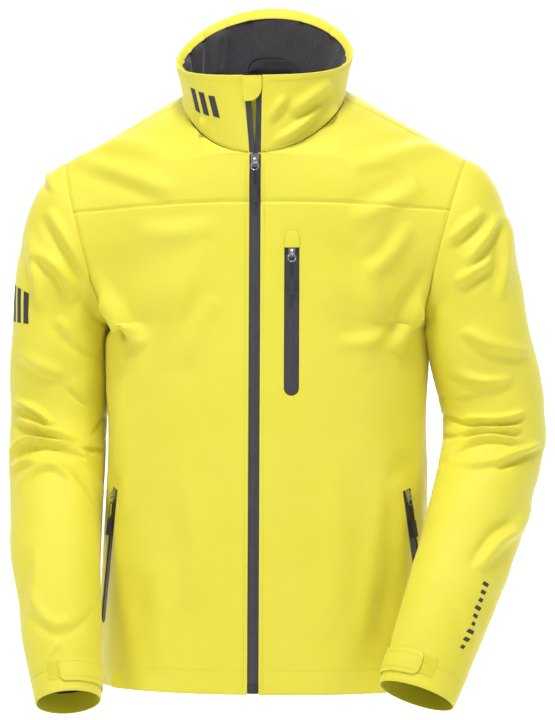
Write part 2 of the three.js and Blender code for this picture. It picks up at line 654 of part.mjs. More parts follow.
const flap = {
  point: (share, z) => vec(lerp(-STORM_FLAP_HALF_WIDTH, STORM_FLAP_HALF_WIDTH, share), zipLine(z).y, z),
  us: span(0, 1, 2),
  vs: [TAPE_START, NECK_FRONT_Z / 2, NECK_FRONT_Z, COLLAR_FRONT_Z - 4],
  out: 1,
};
bodyPanel("storm_flap", [flap], STORM_FLAP, "shell");

const retainer = block(-RETAINER.halfWidth, RETAINER.halfWidth, RETAINER.front, RETAINER.back, RETAINER.bottom, RETAINER.top);
addNode("main_zip_retainer", retainer.translate(0, frontY(0), 0), "tape");

const sliderZ = NECK_FRONT_Z - 1 - MAIN_SLIDER.length / 2;
const sliderSpot = vec(0, frontY(sliderZ), sliderZ);
const mainFrame = zipFrame(sliderSpot, vec(0, frontY(0), 0), vec(0, -1, 0));
addSlider("main_zip", MAIN_SLIDER, mainFrame);

// The folded flap over the end of the right tape
const guard = new THREE.Shape();
const guardOuter = -ZIP_GAP / 2 - COLLAR_SPREAD.right - MAIN_TAPE_WIDTH - 5;
guard.moveTo(guardOuter, COLLAR_FRONT_Z);
guard.lineTo(guardOuter, COLLAR_FRONT_Z - 24);
guard.quadraticCurveTo(guardOuter, COLLAR_FRONT_Z - 30, guardOuter + 6, COLLAR_FRONT_Z - 30);
guard.quadraticCurveTo(0, COLLAR_FRONT_Z - 26, 1, COLLAR_FRONT_Z - 14);
guard.lineTo(1, COLLAR_FRONT_Z);
const guardBack = zipLine(COLLAR_FRONT_Z).y - 1;
addNode("chin_guard", plate(guard, guardBack - SHELL.thickness, guardBack), "shell");

// ---- Sleeves ----

function sleeveShape({ side, path, halfWidth: widths, halfDepth: depths }) {
  const points = path.map(([out, back, drop]) => vec(SHOULDER_HALF_WIDTH + out, back, SHOULDER_Z - drop));
  const centre = new THREE.CatmullRomCurve3(points);
  const places = [0, ELBOW_AT, (ELBOW_AT + 1) / 2 + 0.08, 1].map((s) => clamp((s - SLEEVE_CAP_END) / (1 - SLEEVE_CAP_END), 0, 1));
  const wide = profile(places.map((place, i) => [place, widths[i]]));
  const deep = profile(places.map((place, i) => [place, depths[i]]));
  const down = vec(SHOULDER_Z - ARMPIT_Z, 0, CHEST_HALF_WIDTH - SHOULDER_HALF_WIDTH).normalize();
  const frameAt = (share) => {
    const along = centre.getTangentAt(clamp(share, 0, 1));
    const out = vec(1, 0, 0).addScaledVector(along, -along.x).normalize();
    return { middle: centre.getPointAt(clamp(share, 0, 1)), along, out, front: along.clone().cross(out) };
  };
  const ring = (turn, share) => {
    const { middle, out, front } = frameAt(share);
    middle.addScaledVector(out, wide(share) * Math.cos(degToRad(turn)));
    return middle.addScaledVector(front, deep(share) * Math.sin(degToRad(turn)));
  };
  const cap = (turn, share) => {
    const c = (Math.cos(degToRad(turn)) + 1) / 2;
    const seam = vec(
      lerp(CHEST_HALF_WIDTH, SHOULDER_HALF_WIDTH, c),
      SIDE_SEAM_Y - ARMHOLE_HALF_DEPTH * Math.sin(degToRad(turn)),
      lerp(ARMPIT_Z, SHOULDER_Z, c),
    ).addScaledVector(down, SEAM_GAP);
    const end = ring(turn, 0);
    const reach = seam.distanceTo(end);
    const rise = seam.clone().addScaledVector(down, CAP_RISE * reach);
    const fall = end.clone().addScaledVector(frameAt(0).along, -CAP_FALL * reach);
    return new THREE.CubicBezierCurve3(seam, rise, fall, end).getPoint(Math.max(share, 0));
  };
  // turn: 0 outside, 90 front, 180 against the body, 270 back; share: 0 armhole, 1 cuff end
  const point = (turn, share) => {
    const ringShare = (share - SLEEVE_CAP_END) / (1 - SLEEVE_CAP_END);
    const place = ringShare < 0 ? cap(turn, share / SLEEVE_CAP_END) : ring(turn, ringShare);
    place.x *= side;
    return place;
  };
  return { point, side };
}

function sleevePatch(shape, rows, turns) {
  return [{ point: shape.point, us: turns, vs: rows, out: shape.side }];
}

const ROUND = span(0, 360, 16);
for (const [name, dims] of Object.entries(SLEEVES)) {
  const shape = sleeveShape(dims);
  const upperRows = [...span(0, SLEEVE_CAP_END, 6), 0.38, ELBOW_AT - RING_GAP];
  const forearmRows = [...span(ELBOW_AT + RING_GAP, CUFF_AT - RING_GAP / 2, 7)];
  const cuffRows = [CUFF_AT + RING_GAP / 2, 1];
  const coarse = span(0, 360, 12);
  bodyPanel(`${name}_upper_sleeve`, sleevePatch(shape, upperRows, ROUND), SHELL, "shell");
  bodyPanel(`${name}_forearm_sleeve`, sleevePatch(shape, forearmRows, ROUND), SHELL, "shell");
  bodyPanel(`${name}_cuff_band`, sleevePatch(shape, cuffRows, ROUND), SHELL, "shell");
  const liningTop = [0.03, 0.12, 0.21, SLEEVE_CAP_END, 0.38, ELBOW_AT - 4 * RING_GAP];
  bodyPanel(`${name}_upper_sleeve_lining`, sleevePatch(shape, liningTop, coarse), SLEEVE_LINING, "bodyLining");
  const liningLow = span(ELBOW_AT + 4 * RING_GAP, CUFF_AT, 5);
  bodyPanel(`${name}_forearm_lining`, sleevePatch(shape, liningLow, coarse), SLEEVE_LINING, "bodyLining");
  const tabPatch = sleevePatch(shape, [TAB.top, TAB.bottom], span(TAB.free, TAB.sewn, 5));
  bodyPanel(`${name}_cuff_tab`, tabPatch, TAB, "shell");
  const patch = sleevePatch(shape, [LOOP_PATCH.top, LOOP_PATCH.bottom], span(LOOP_PATCH.from, LOOP_PATCH.to, 4));
  bodyPanel(`${name}_cuff_loop_patch`, patch, LOOP_PATCH, "tape");
}

// ---- Hang loop ----

const loopBase = BODY_LENGTH + 3;
const loopBack = NECK_BACK_DEPTH - LOOP.clear;
const ribbon = new THREE.Shape();
const { halfSpan, rise, ribbon: thick, crown } = LOOP;
ribbon.moveTo(-halfSpan, 0);
ribbon.quadraticCurveTo(-halfSpan, rise, -crown, rise);
ribbon.lineTo(crown, rise);
ribbon.quadraticCurveTo(halfSpan, rise, halfSpan, 0);
ribbon.lineTo(halfSpan - thick, 0);
ribbon.quadraticCurveTo(halfSpan - thick, rise - thick, crown, rise - thick);
ribbon.lineTo(-crown, rise - thick);
ribbon.quadraticCurveTo(thick - halfSpan, rise - thick, thick - halfSpan, 0);
addNode("hang_loop", plate(ribbon, loopBack - LOOP.width, loopBack).translate(0, 0, loopBase), "tape");

// The origin is on the hook's bearing face, under the middle of the hang loop
jacket.position.set(0, -(loopBack - LOOP.width / 2), -(loopBase + rise - thick));

export default jacket;
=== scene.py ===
"""A sailing jacket: a waterproof shell with a stand-up collar, a full front zip and tabbed cuffs.

Shapes are worked out in millimetres with Z = 0 at the hem, X = 0 on the centre front and the front
facing -Y. A piece is moved to the frame, in metres, when its mesh is made.
"""

import json
import math

import bpy
import numpy as np
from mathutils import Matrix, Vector


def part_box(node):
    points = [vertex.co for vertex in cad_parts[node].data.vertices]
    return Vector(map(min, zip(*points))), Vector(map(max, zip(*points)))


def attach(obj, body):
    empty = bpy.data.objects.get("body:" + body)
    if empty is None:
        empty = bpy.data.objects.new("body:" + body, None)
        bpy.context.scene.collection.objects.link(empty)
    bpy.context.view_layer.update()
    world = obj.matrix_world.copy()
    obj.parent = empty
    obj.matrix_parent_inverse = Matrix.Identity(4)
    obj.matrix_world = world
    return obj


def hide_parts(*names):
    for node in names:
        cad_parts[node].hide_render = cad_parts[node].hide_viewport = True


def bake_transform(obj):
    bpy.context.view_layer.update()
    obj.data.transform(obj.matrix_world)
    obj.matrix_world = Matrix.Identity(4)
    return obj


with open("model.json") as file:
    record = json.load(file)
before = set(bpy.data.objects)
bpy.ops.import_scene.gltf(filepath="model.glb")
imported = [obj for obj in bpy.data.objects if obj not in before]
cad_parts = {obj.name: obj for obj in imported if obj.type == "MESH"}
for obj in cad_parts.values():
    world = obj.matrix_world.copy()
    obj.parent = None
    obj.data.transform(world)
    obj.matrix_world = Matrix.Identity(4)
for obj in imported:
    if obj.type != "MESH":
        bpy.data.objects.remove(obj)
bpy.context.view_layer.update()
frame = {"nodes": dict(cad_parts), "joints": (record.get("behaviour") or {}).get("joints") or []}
joints = {j["name"]: j for j in frame["joints"]}

# ---- Driving dimensions ----

MM = 0.001
SIDE_SEAM_Y = 5.0
SHOULDER_TIP = np.array(joints["left_shoulder_raise"]["pos_m"])
HEM_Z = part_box("left_front_panel")[0].z
ORIGIN = np.array([0.0, SHOULDER_TIP[1] - SIDE_SEAM_Y * MM, HEM_Z])
SHOULDER_HALF_WIDTH = SHOULDER_TIP[0] / MM
CHEST_HALF_WIDTH = SHOULDER_HALF_WIDTH - 55
BODY_LENGTH = 740.0
WAIST_HEIGHT = 240.0
ARMPIT_Z = BODY_LENGTH - 302
YOKE_Z = BODY_LENGTH - 160
NECK_FRONT_Z = BODY_LENGTH - 102
NECK_SIDE_Z = BODY_LENGTH - 30
SHOULDER_Z = BODY_LENGTH - 104
FRONT_DEPTH_AT_HEM = 134.0
FRONT_DEPTH_AT_NECK = 110.0
NECK_HALF_WIDTH = 97.0
NECK_BACK_DEPTH = 62.0
NECK_SIDE_Y = -10.0
ARMHOLE_HALF_DEPTH = 72.0
CORNER_FULLNESS = 0.62
COLLAR_FLARE = 11.0
COLLAR_FRONT_Z = NECK_FRONT_Z + 90
COLLAR_SIDE_Z = NECK_SIDE_Z + 51
COLLAR_BACK_Z = BODY_LENGTH + 89
COLLAR_SPREAD = {"left": 2.5, "right": 7.0}

AT_ARMPIT = 0.55
AT_YOKE = 0.8
AT_NECK = 0.87
YOKE_ANGLE = 20.0
MARGIN_U = 0.3 / SHOULDER_HALF_WIDTH

SHELL_THICKNESS = 1.1
TAPE_DEPTH = 1.6
TAPE_THICKNESS = 0.8
LINING_DEPTH = 12.0
SLEEVE_LINING_DEPTH = 4.0
ZIP_GAP = 1.2
MAIN_TAPE_WIDTH = 6.3
FRONT_EDGE = ZIP_GAP / 2 + MAIN_TAPE_WIDTH + 0.3
PIVOT_HEIGHT = 3.2
PIVOT_DROP = 2.5
POCKET_SLIDER_LENGTH = 13.5
HEM_TURN = 28.0
CUFF_AT = 0.957
SLEEVE_LENGTH = 690
CAP_END = 0.3
ELBOW_AT = 0.47
SPLIT_AT = 0.37

SLEEVES = {
    "left": {
        "side": 1,
        "path": [(13, 4, 206), (32, 12, 321), (-3, -92, 486), (-51, -162, 631)],
        "wide": (62, 62, 54, 46),
        "deep": (62, 60, 52, 38),
    },
    "right": {
        "side": -1,
        "path": [(12, 4, 206), (14, 8, 326), (-2, -83, 489), (-29, -152, 645)],
        "wide": (57, 60, 50.5, 39),
        "deep": (62, 60, 52, 45),
    },
}

# ---- The camera's place, and where a point shows from there ----

VIEW_TURN = math.radians(6.5)
VIEW_DISTANCE = 3500.0
VIEW_MIDDLE_X = 14.0
VIEW_MIDDLE_Z = 393.0
VIEW_HEIGHT = 878.0
VIEW_RIGHT = np.array([math.cos(VIEW_TURN), math.sin(VIEW_TURN), 0.0])
VIEW_AWAY = np.array([-math.sin(VIEW_TURN), math.cos(VIEW_TURN), 0.0])


def seen(points):
    """Where points show from the front: across and up, in mm at the jacket's middle plane."""
    scale = VIEW_DISTANCE / (VIEW_DISTANCE + points @ VIEW_AWAY)
    across = VIEW_MIDDLE_X + (points @ VIEW_RIGHT - VIEW_MIDDLE_X) * scale
    up = VIEW_MIDDLE_Z + (points[..., 2] - VIEW_MIDDLE_Z) * scale
    return np.stack([across, up], axis=-1)


def to_frame(points):
    return np.asarray(points, float) * MM + ORIGIN


def from_frame(point):
    return (np.array(point) - ORIGIN) / MM


# ---- Small sums ----

def mix(a, b, t):
    return a + (b - a) * t


def ease(low, high, x):
    t = np.clip((x - low) / (high - low), 0, 1)
    return t * t * (3 - 2 * t)


def unit(v):
    return v / np.maximum(np.linalg.norm(v, axis=-1, keepdims=True), 1e-9)


def col(values):
    return np.asarray(values, float)[..., None]


def profile(pairs):
    """A smooth curve through (place, size) pairs."""
    place = np.array([p for p, _ in pairs], float)
    size = np.array([s for _, s in pairs], float)
    after = np.minimum(np.arange(len(pairs)) + 1, len(pairs) - 1)
    before = np.maximum(np.arange(len(pairs)) - 1, 0)
    slope = (size[after] - size[before]) / (place[after] - place[before])

    def curve(x):
        i = np.clip(np.searchsorted(place, x, side="left") - 1, 0, len(pairs) - 2)
        width = place[i + 1] - place[i]
        t = np.clip((x - place[i]) / width, 0, 1)
        bend = width * (slope[i] * t * (1 - t) ** 2 - slope[i + 1] * t * t * (1 - t))
        return mix(size[i], size[i + 1], t * t * (3 - 2 * t)) + bend

    return curve


def steps(pairs):
    place, size = zip(*pairs)
    return lambda x: np.interp(x, place, size)


# ---- The body's outer face ----

half_width = profile(
    [(0, CHEST_HALF_WIDTH + 15), (WAIST_HEIGHT, CHEST_HALF_WIDTH + 6), (ARMPIT_Z, CHEST_HALF_WIDTH)]
)
back_y = profile(
    [
        (0, 112),
        (WAIST_HEIGHT, 104),
        (ARMPIT_Z + 50, 126),
        (YOKE_Z + 30, 116),
        (NECK_SIDE_Z - 20, mix(NECK_BACK_DEPTH, 126, 0.45)),
        (BODY_LENGTH, NECK_BACK_DEPTH),
    ]
)
centre_front_z = steps([(0, 0), (AT_ARMPIT, ARMPIT_Z), (AT_YOKE, YOKE_Z), (AT_NECK, NECK_FRONT_Z)])
centre_back_z = steps([(0, 0), (AT_ARMPIT, ARMPIT_Z), (AT_YOKE, YOKE_Z + 20), (AT_NECK, BODY_LENGTH)])
armhole_angle = steps([(AT_ARMPIT, -90), (AT_YOKE, YOKE_ANGLE), (1, 90)])


def front_y(z):
    return -mix(FRONT_DEPTH_AT_HEM, FRONT_DEPTH_AT_NECK, z / NECK_FRONT_Z)


def turning(front, side, back, turn):
    s = np.sin(np.radians(turn))
    return side + (back - front) / 2 * s + ((back + front) / 2 - side) * s * s


def neck(turn):
    return np.stack(
        [
            NECK_HALF_WIDTH * np.cos(np.radians(turn)),
            turning(-FRONT_DEPTH_AT_NECK, NECK_SIDE_Y, NECK_BACK_DEPTH, turn),
            turning(NECK_FRONT_Z, NECK_SIDE_Z, BODY_LENGTH, turn),
        ],
        axis=-1,
    )


def collar_top(turn):
    return np.stack(
        [
            (NECK_HALF_WIDTH + COLLAR_FLARE) * np.cos(np.radians(turn)),
            turning(-FRONT_DEPTH_AT_NECK - 8, NECK_SIDE_Y - 5, NECK_BACK_DEPTH + 10, turn),
            turning(COLLAR_FRONT_Z, COLLAR_SIDE_Z, COLLAR_BACK_Z, turn),
        ],
        axis=-1,
    )


def armhole(angle, facing):
    """The armhole is an ellipse in a leaning plane: -90 at the armpit, 90 at the shoulder tip."""
    s = np.sin(np.radians(angle))
    return np.stack(
        [
            mix(CHEST_HALF_WIDTH, SHOULDER_HALF_WIDTH, (s + 1) / 2),
            SIDE_SEAM_Y + facing * ARMHOLE_HALF_DEPTH * np.cos(np.radians(angle)),
            mix(ARMPIT_Z, SHOULDER_Z, (s + 1) / 2),
        ],
        axis=-1,
    )


def row_start(v, facing):
    z = centre_front_z(v) if facing < 0 else centre_back_z(v)
    y = front_y(z) if facing < 0 else back_y(z)
    centre = np.stack([np.zeros_like(z), y, z], axis=-1)
    on_neck = neck(facing * 90 * (1 - v) / (1 - AT_NECK))
    return np.where(col(v > AT_NECK), on_neck, centre)


def row_end(v, facing):
    z = mix(0, ARMPIT_Z, np.minimum(v, AT_ARMPIT) / AT_ARMPIT)
    side = np.stack([half_width(z), np.full_like(z, SIDE_SEAM_Y), z], axis=-1)
    return np.where(col(v > AT_ARMPIT), armhole(armhole_angle(v), facing), side)


def bezier(a, b, c, d, t):
    s = 1 - t
    return a * s**3 + b * 3 * s * s * t + c * 3 * s * t * t + d * t**3


def body(side, facing, u, v):
    """The outer face: u from the centre line to the side seam or armhole, v from hem to shoulder."""
    u, v = np.broadcast_arrays(np.asarray(u, float), np.asarray(v, float))
    start = row_start(v, facing)
    end = row_end(v, facing)
    across = end - start
    reach = np.linalg.norm(across, axis=-1, keepdims=True)
    straight = unit(across)
    to_armhole = col(ease(AT_ARMPIT, AT_ARMPIT + 0.17, v))
    to_shoulder = col(ease(AT_YOKE, 1, v))
    start_way = unit(mix(np.array([1.0, 0, 0]), straight, to_shoulder))
    end_way = unit(mix(np.array([0.0, facing, 0]), -straight, to_armhole))
    start_pull = mix(CORNER_FULLNESS * across[..., :1], reach / 3, to_shoulder)
    end_pull = mix(CORNER_FULLNESS * np.abs(across[..., 1:2]), reach / 3, to_armhole)
    first, second = start + start_way * start_pull, end + end_way * end_pull
    place = bezier(start, first, second, end, col(np.clip(u, 0, 1)))
    place = place - end_way * col(np.maximum(u - 1, 0)) * reach
    place = place + start_way * col(np.minimum(u, 0)) * reach
    return place * np.array([side, 1, 1])


def row_share(x, facing, v):
    """How far along a row the cloth is at a given distance from the centre line."""
    v = np.asarray(v, float)
    low, high = np.zeros_like(v), np.ones_like(v)
    for _ in range(26):
        middle = (low + high) / 2
        near = body(1, facing, middle, v)[..., 0] < x
        low, high = np.where(near, middle, low), np.where(near, high, middle)
    return low


def row_at(z):
    return np.interp(z, [0, ARMPIT_Z, YOKE_Z, NECK_FRONT_Z], [0, AT_ARMPIT, AT_YOKE, AT_NECK])


def inner_share(distance, facing, v):
    v = np.asarray(v, float)
    return np.where(v > AT_NECK, MARGIN_U * 3, row_share(distance, facing, v) if distance > 0 else 0.0)


def collar(share, height):
    """The collar from the wearer's left front edge round the back to the right one."""
    def edge(spread):
        radius = NECK_HALF_WIDTH + COLLAR_FLARE * height
        return np.degrees(np.arcsin((FRONT_EDGE + spread * height) / radius))
    turn = mix(-90 + edge(COLLAR_SPREAD["left"]), 270 - edge(COLLAR_SPREAD["right"]), share)
    return mix(neck(turn), collar_top(turn), col(height + 0 * turn))


# ---- Sleeves ----

def smooth_path(points, count=600):
    """Even steps along a rounded line through the points, with the way it runs at each step."""
    p = [2 * points[0] - points[1], *points, 2 * points[-1] - points[-2]]
    found = []
    for a, b, c, d in zip(p, p[1:], p[2:], p[3:]):
        gaps = [max(np.linalg.norm(y - x) ** 0.5, 1e-4) for x, y in ((a, b), (b, c), (c, d))]
        first = ((b - a) / gaps[0] - (c - a) / (gaps[0] + gaps[1]) + (c - b) / gaps[1]) * gaps[1]
        last = ((c - b) / gaps[1] - (d - b) / (gaps[1] + gaps[2]) + (d - c) / gaps[2]) * gaps[1]
        t = np.linspace(0, 1, 200, endpoint=False)[:, None]
        second = 3 * (c - b) - 2 * first - last
        third = 2 * (b - c) + first + last
        found.append(b + first * t + second * t**2 + third * t**3)
    line = np.vstack([*found, points[-1:]])
    length = np.r_[0, np.cumsum(np.linalg.norm(np.diff(line, axis=0), axis=1))]
    even = np.linspace(0, length[-1], count)
    line = np.stack([np.interp(even, length, line[:, k]) for k in range(3)], axis=-1)
    return line, unit(np.gradient(line, axis=0))


def sleeve(name):
    """The sleeve's outer face by turn (0 outside, 90 front, 180 body side) and share of its length."""
    sizes = SLEEVES[name]
    points = np.array([(SHOULDER_HALF_WIDTH + a, b, SHOULDER_Z - c) for a, b, c in sizes["path"]], float)
    line, way = smooth_path(points)
    places = [max(s - CAP_END, 0) / (1 - CAP_END) for s in (0, ELBOW_AT, (ELBOW_AT + 1) / 2 + 0.08, 1)]
    wide, deep = (profile(list(zip(places, sizes[k]))) for k in ("wide", "deep"))
    down = unit(np.array([SHOULDER_Z - ARMPIT_Z, 0, CHEST_HALF_WIDTH - SHOULDER_HALF_WIDTH]))
    ladder = np.linspace(0, 1, len(line))

    def at(table, share):
        return np.stack([np.interp(share, ladder, table[:, k]) for k in range(3)], axis=-1)

    def ring(turn, share):
        along = unit(at(way, share))
        out = unit(np.array([1.0, 0, 0]) - along * along[..., :1])
        front = np.cross(along, out)
        turned = np.radians(turn)
        return (
            at(line, share)
            + out * col(wide(share) * np.cos(turned))
            + front * col(deep(share) * np.sin(turned))
        )

    def point(turn, share):
        turn, share = np.broadcast_arrays(np.asarray(turn, float), np.asarray(share, float))
        c = (np.cos(np.radians(turn)) + 1) / 2
        seam = np.stack(
            [
                mix(CHEST_HALF_WIDTH, SHOULDER_HALF_WIDTH, c),
                SIDE_SEAM_Y - ARMHOLE_HALF_DEPTH * np.sin(np.radians(turn)),
                mix(ARMPIT_Z, SHOULDER_Z, c),
            ],
            axis=-1,
        ) + down * 0.6
        end = ring(turn, np.zeros_like(share))
        reach = np.linalg.norm(seam - end, axis=-1, keepdims=True)
        rise = seam + down * 0.2 * reach
        fall = end - way[0] * 0.5 * reach
        cap = bezier(seam, rise, fall, end, col(np.clip(share / CAP_END, 0, 1)))
        below = ring(turn, np.clip((share - CAP_END) / (1 - CAP_END), 0, 1))
        return np.where(col(share < CAP_END), cap, below) * np.array([sizes["side"], 1, 1])

    return point


sleeves = {name: sleeve(name) for name in SLEEVES}

# ---- Folds: soft ridges laid one by one, where they show from the front ----
# Each is a line of (across, up) points, its half width and its height, all in mm.

# Creases, listed one by one. Each is: across and up from the place named, in mm as seen(); its length; the
# way it runs, in degrees; its bow; its half width; and its height, which is negative for a valley.
RIGHT_ELBOW = (-250, 290)
RIGHT_SLEEVE_FOLDS = [
    (0, 15, 115, -18, -5, 4.2, 5.5),
    (-5, -5, 80, -10, 7, 4.2, 5),
    (35, -50, 75, -55, 5, 5, 4),
    (-40, -8, 42, 18, 12, 4.2, 3.6),
    (-15, -58, 80, 0, 33, 5, 2.7),
    (0, -175, 80, -5, -45, 7, 2.2),
    (-35, 38, 58, -32, 5, 4.2, 4.2),
    (32, 62, 48, -35, -4, 5, 3.6),
    (42, 32, 38, 60, 0, 5, 4.2),
    (-42, -26, 34, 18, 5, 4.2, 2.4),
    (12, 245, 100, -55, 0, 7.5, 3.8),
    (-8, 205, 80, -50, 11, 7, 3.8),
    (-32, 210, 95, -82, 0, 7, 2.7),
    (-12, 320, 26, -64, 0, 6, 2.2),
    (20, 135, 64, -38, -4, 7, 2.7),
    (-22, 100, 62, -26, -5, 7.5, 2.2),
    (-35, -168, 90, -94, 4, 7.5, 1.6),
    (-10, -255, 40, -120, -4, 6, 1.6),
]
LEFT_ELBOW = (262, 300)
LEFT_SLEEVE_FOLDS = [
    (0, 34, 105, -5, -15, 4.2, 5.5),
    (0, 7, 98, 2, 1, 3.8, 5),
    (2, -18, 95, 11, 17, 3.8, 4.2),
    (2, -20, 95, 10, -13, 4.2, 2.4),
    (44, -22, 63, 25, 0, 4.2, 4.2),
    (-40, -19, 47, 43, 4, 4.2, 3),
    (20, -139, 67, -132, -5, 7, 3.8),
    (36, -103, 75, -138, 11, 7, 2.2),
    (-19, 256, 60, 40, 0, 7, 3.2),
    (3, 240, 74, 54, 0, 7, 3.8),
    (-8, 201, 55, 33, 0, 7, 3.2),
    (28, 218, 103, -94, 3, 7, 2.7),
    (19, 116, 87, -18, -5, 7, 2.7),
    (-2, 78, 81, -11, -9, 6, 2.7),
    (-23, -233, 69, -77, 9, 7.5, 1.6),
    (-29, 56, 46, -6, -4, 4.2, 3),
]
CENTRE_FRONT = (0, 0)
FRONT_FOLDS = [
    (-178, 652, 113, -3, 3, 10, 2.2),
    (-182, 622, 150, -19, 2, 11, 2),
    (-183, 454, 113, -54, 0, 9, 5.5),
    (175, 645, 150, -167, -2, 11, 2.2),
    (145, 583, 97, -153, 2, 12, 1.6),
    (152, 158, 250, -97, 0, 13, -2),
    (182, 448, 104, -118, -5, 9, 4.5),
    (-178, 283, 170, -88, 5, 14, 1.6),
    (-142, 80, 137, -90, 13, 16, 1.4),
    (78, 155, 208, -90, 10, 18, 1.2),
    (-94, 460, 163, -105, -12, 16, 1.5),
    (121, 460, 158, -90, 8, 16, 1.4),
    (-185, 0, 24, -72, 0, 6, 2),
    (169, 23, 56, -92, -3, 8, 2),
    (-173, 441, 51, -26, -3, 6, 2),
    (147, 528, 86, -132, 8, 10, 1.8),
    (117, 422, 67, -170, 8, 9, 1.3),
    (-76, 427, 92, -110, -8, 12, 1.2),
    (-98, 170, 160, -90, 10, 15, 1.2),
    (-110, 556, 100, -175, 8, 12, 1.2),
]
COLLAR_FOLDS = [
    (37, 679, 78, 38, -2, 5, 3.4),
    (54, 713, 60, 35, 0, 7, 3),
    (-77, 676, 24, -85, 0, 3.4, 2.7),
    (-95, 696, 42, -62, -3, 5, 2.2),
    (78, 688, 31, 50, 2, 4.2, 3),
    (12, 699, 41, 52, 0, 6, 2.1),
]
BACK_FOLDS = [
    (-115, 602, 150, 2, 10, 11, 1.8),
    (120, 598, 136, 178, -8, 11, 1.8),
    (-157, 421, 125, -51, 11, 10, 3),
    (157, 428, 119, -126, 3, 10, 2.6),
    (-56, 225, 210, -88, 16, 16, 2),
    (71, 195, 210, -90, 13, 16, 2),
    (-139, 155, 190, -90, -11, 14, 1.8),
    (151, 165, 190, -90, -5, 14, 1.8),
    (0, 640, 182, 0, 15, 9, 1.4),
]

def crease_line(at, across, up, length, run, bow):
    """A bowed line of 24 points through its middle, which lies across and up from a place."""
    t = np.linspace(-1, 1, 24)[:, None]
    way = np.array([math.cos(math.radians(run)), math.sin(math.radians(run))])
    beside = np.array([-way[1], way[0]])
    return np.array([at[0] + across, at[1] + up]) + t * way * length / 2 + (1 - t**2) * beside * bow


def fold_height(places, folds, at=CENTRE_FRONT):
    """Height of the folds at places given as (across, up): a crest with a shallow dip below it."""
    height = np.zeros(places.shape[:-1])
    flat = places.reshape(-1, 2)
    total = height.reshape(-1)
    for across, up, length, run, bow, width, rise in folds:
        line = crease_line(at, across, up, length, run, bow)
        reach = width * 4.5
        near = np.all((flat > line.min(0) - reach) & (flat < line.max(0) + reach), axis=1)
        if not near.any():
            continue
        p = flat[near]
        best = np.full(len(p), 1e9)
        side = np.zeros(len(p))
        along = np.zeros(len(p))
        for i, (a, b) in enumerate(zip(line, line[1:])):
            d = b - a
            t = np.clip(((p - a) @ d) / (d @ d), 0, 1)
            gap = p - a - t[:, None] * d
            far = np.linalg.norm(gap, axis=1)
            closer = far < best
            best = np.where(closer, far, best)
            side = np.where(closer, np.sign(d[0] * gap[:, 1] - d[1] * gap[:, 0]), side)
            along = np.where(closer, (i + t) / (len(line) - 1), along)
        signed = best * side
        fade = np.clip(4 * along * (1 - along), 0.0, 1) ** 0.6 * np.exp(-((best / reach * 1.6) ** 4))
        dip = np.exp(-(((signed + 1.7 * width) / (1.1 * width)) ** 2))
        crest = np.exp(-((signed / width) ** 2)) - 0.5 * dip
        total[near] += rise * fade * crest
    return height


def ripple(points, size, seed, waves=7):
    """Smooth unevenness from -1 to 1, with humps about this size in mm."""
    local = np.random.default_rng(seed)
    total = 0
    for _ in range(waves):
        way = unit(local.normal(size=3)) * (2 * math.pi / (size * local.uniform(0.8, 1.6)))
        total = total + np.cos(points @ way + local.uniform(0, 2 * math.pi))
    return total / waves * 1.6


def ring_creases(turn, share, name):
    """Soft creases that run round the inside of the bent elbow and the back of the sleeve."""
    seed = 31 if name == "left" else 57
    local = np.random.default_rng(seed)
    height = 0
    for _ in range(16):
        centre = local.uniform(0, 360)
        at = ELBOW_AT + local.normal() * 0.07
        spread = local.uniform(28, 70)
        lean = local.uniform(-0.0007, 0.0007)
        away = (turn - centre + 180) % 360 - 180
        along = (share - at - lean * away) * 680
        width = local.uniform(4, 8)
        crest = np.exp(-((along / width) ** 2)) - 0.5 * np.exp(-(((along + 1.7 * width) / width) ** 2))
        height = height + local.uniform(1.2, 3.2) * crest * np.exp(-((away / spread) ** 2))
    return height


FOLD_GAIN = 2.3


def front_mask(normals):
    """1 where cloth faces the front and 0 where it faces back."""
    return ease(-0.55, 0.25, -normals[..., 1])


def body_folds(facing):
    def height(points, normals, u, v):
        total = 1.8 * ripple(points, 190, 3) + 0.5 * ripple(points, 75, 4)
        if facing < 0:
            total = (total + 1.25 * FOLD_GAIN * fold_height(seen(points), FRONT_FOLDS)) * ease(0.02, 0.15, u)
        else:
            places = points[..., [0, 2]]
            total = total + fold_height(places, BACK_FOLDS) + 1.2 * ripple(points, 110, 9)
        side_bulge = 7 * np.exp(-(((points[..., 2] - 415) / 85) ** 2)) * ease(0.72, 0.98, np.abs(u))
        total = total + side_bulge
        edge = ease(AT_ARMPIT, AT_ARMPIT + 0.1, v) * ease(0.86, 1, np.abs(u))
        return total * (1 - 0.7 * edge) * (1 - 0.8 * ease(0.95, 1.0, v))
    return height


def collar_folds(points, normals, share, high):
    drawn = FOLD_GAIN * fold_height(seen(points), COLLAR_FOLDS) * front_mask(normals)
    total = (0.9 * ripple(points, 80, 12) + drawn) * ease(0, 0.035, share) * ease(0, 0.035, 1 - share)
    return total * ease(0, 0.2, high) * (1 - 0.5 * ease(0.8, 1, high))


def sleeve_folds(name):
    folds = LEFT_SLEEVE_FOLDS if name == "left" else RIGHT_SLEEVE_FOLDS
    elbow = LEFT_ELBOW if name == "left" else RIGHT_ELBOW
    def height(points, normals, turn, share):
        front = front_mask(normals)
        total = FOLD_GAIN * fold_height(seen(points), folds, elbow) * front
        total = total + ring_creases(turn, share, name) * (1 - front)
        total = total + 1.6 * ripple(points, 95, 21) + 0.6 * ripple(points, 45, 22)
        inner = ease(0.1, 0.6, -SLEEVES[name]["side"] * normals[..., 0])
        near_body = 3.5 * ease(0.14, 0.24, share) * (1 - ease(0.36, 0.5, share))
        total = total + inner * (near_body - np.maximum(total, 0))
        quiet = ease(0, 0.06, share) * (1 - ease(CUFF_AT - 0.03, CUFF_AT, share) * 0.8)
        return total * quiet
    return height


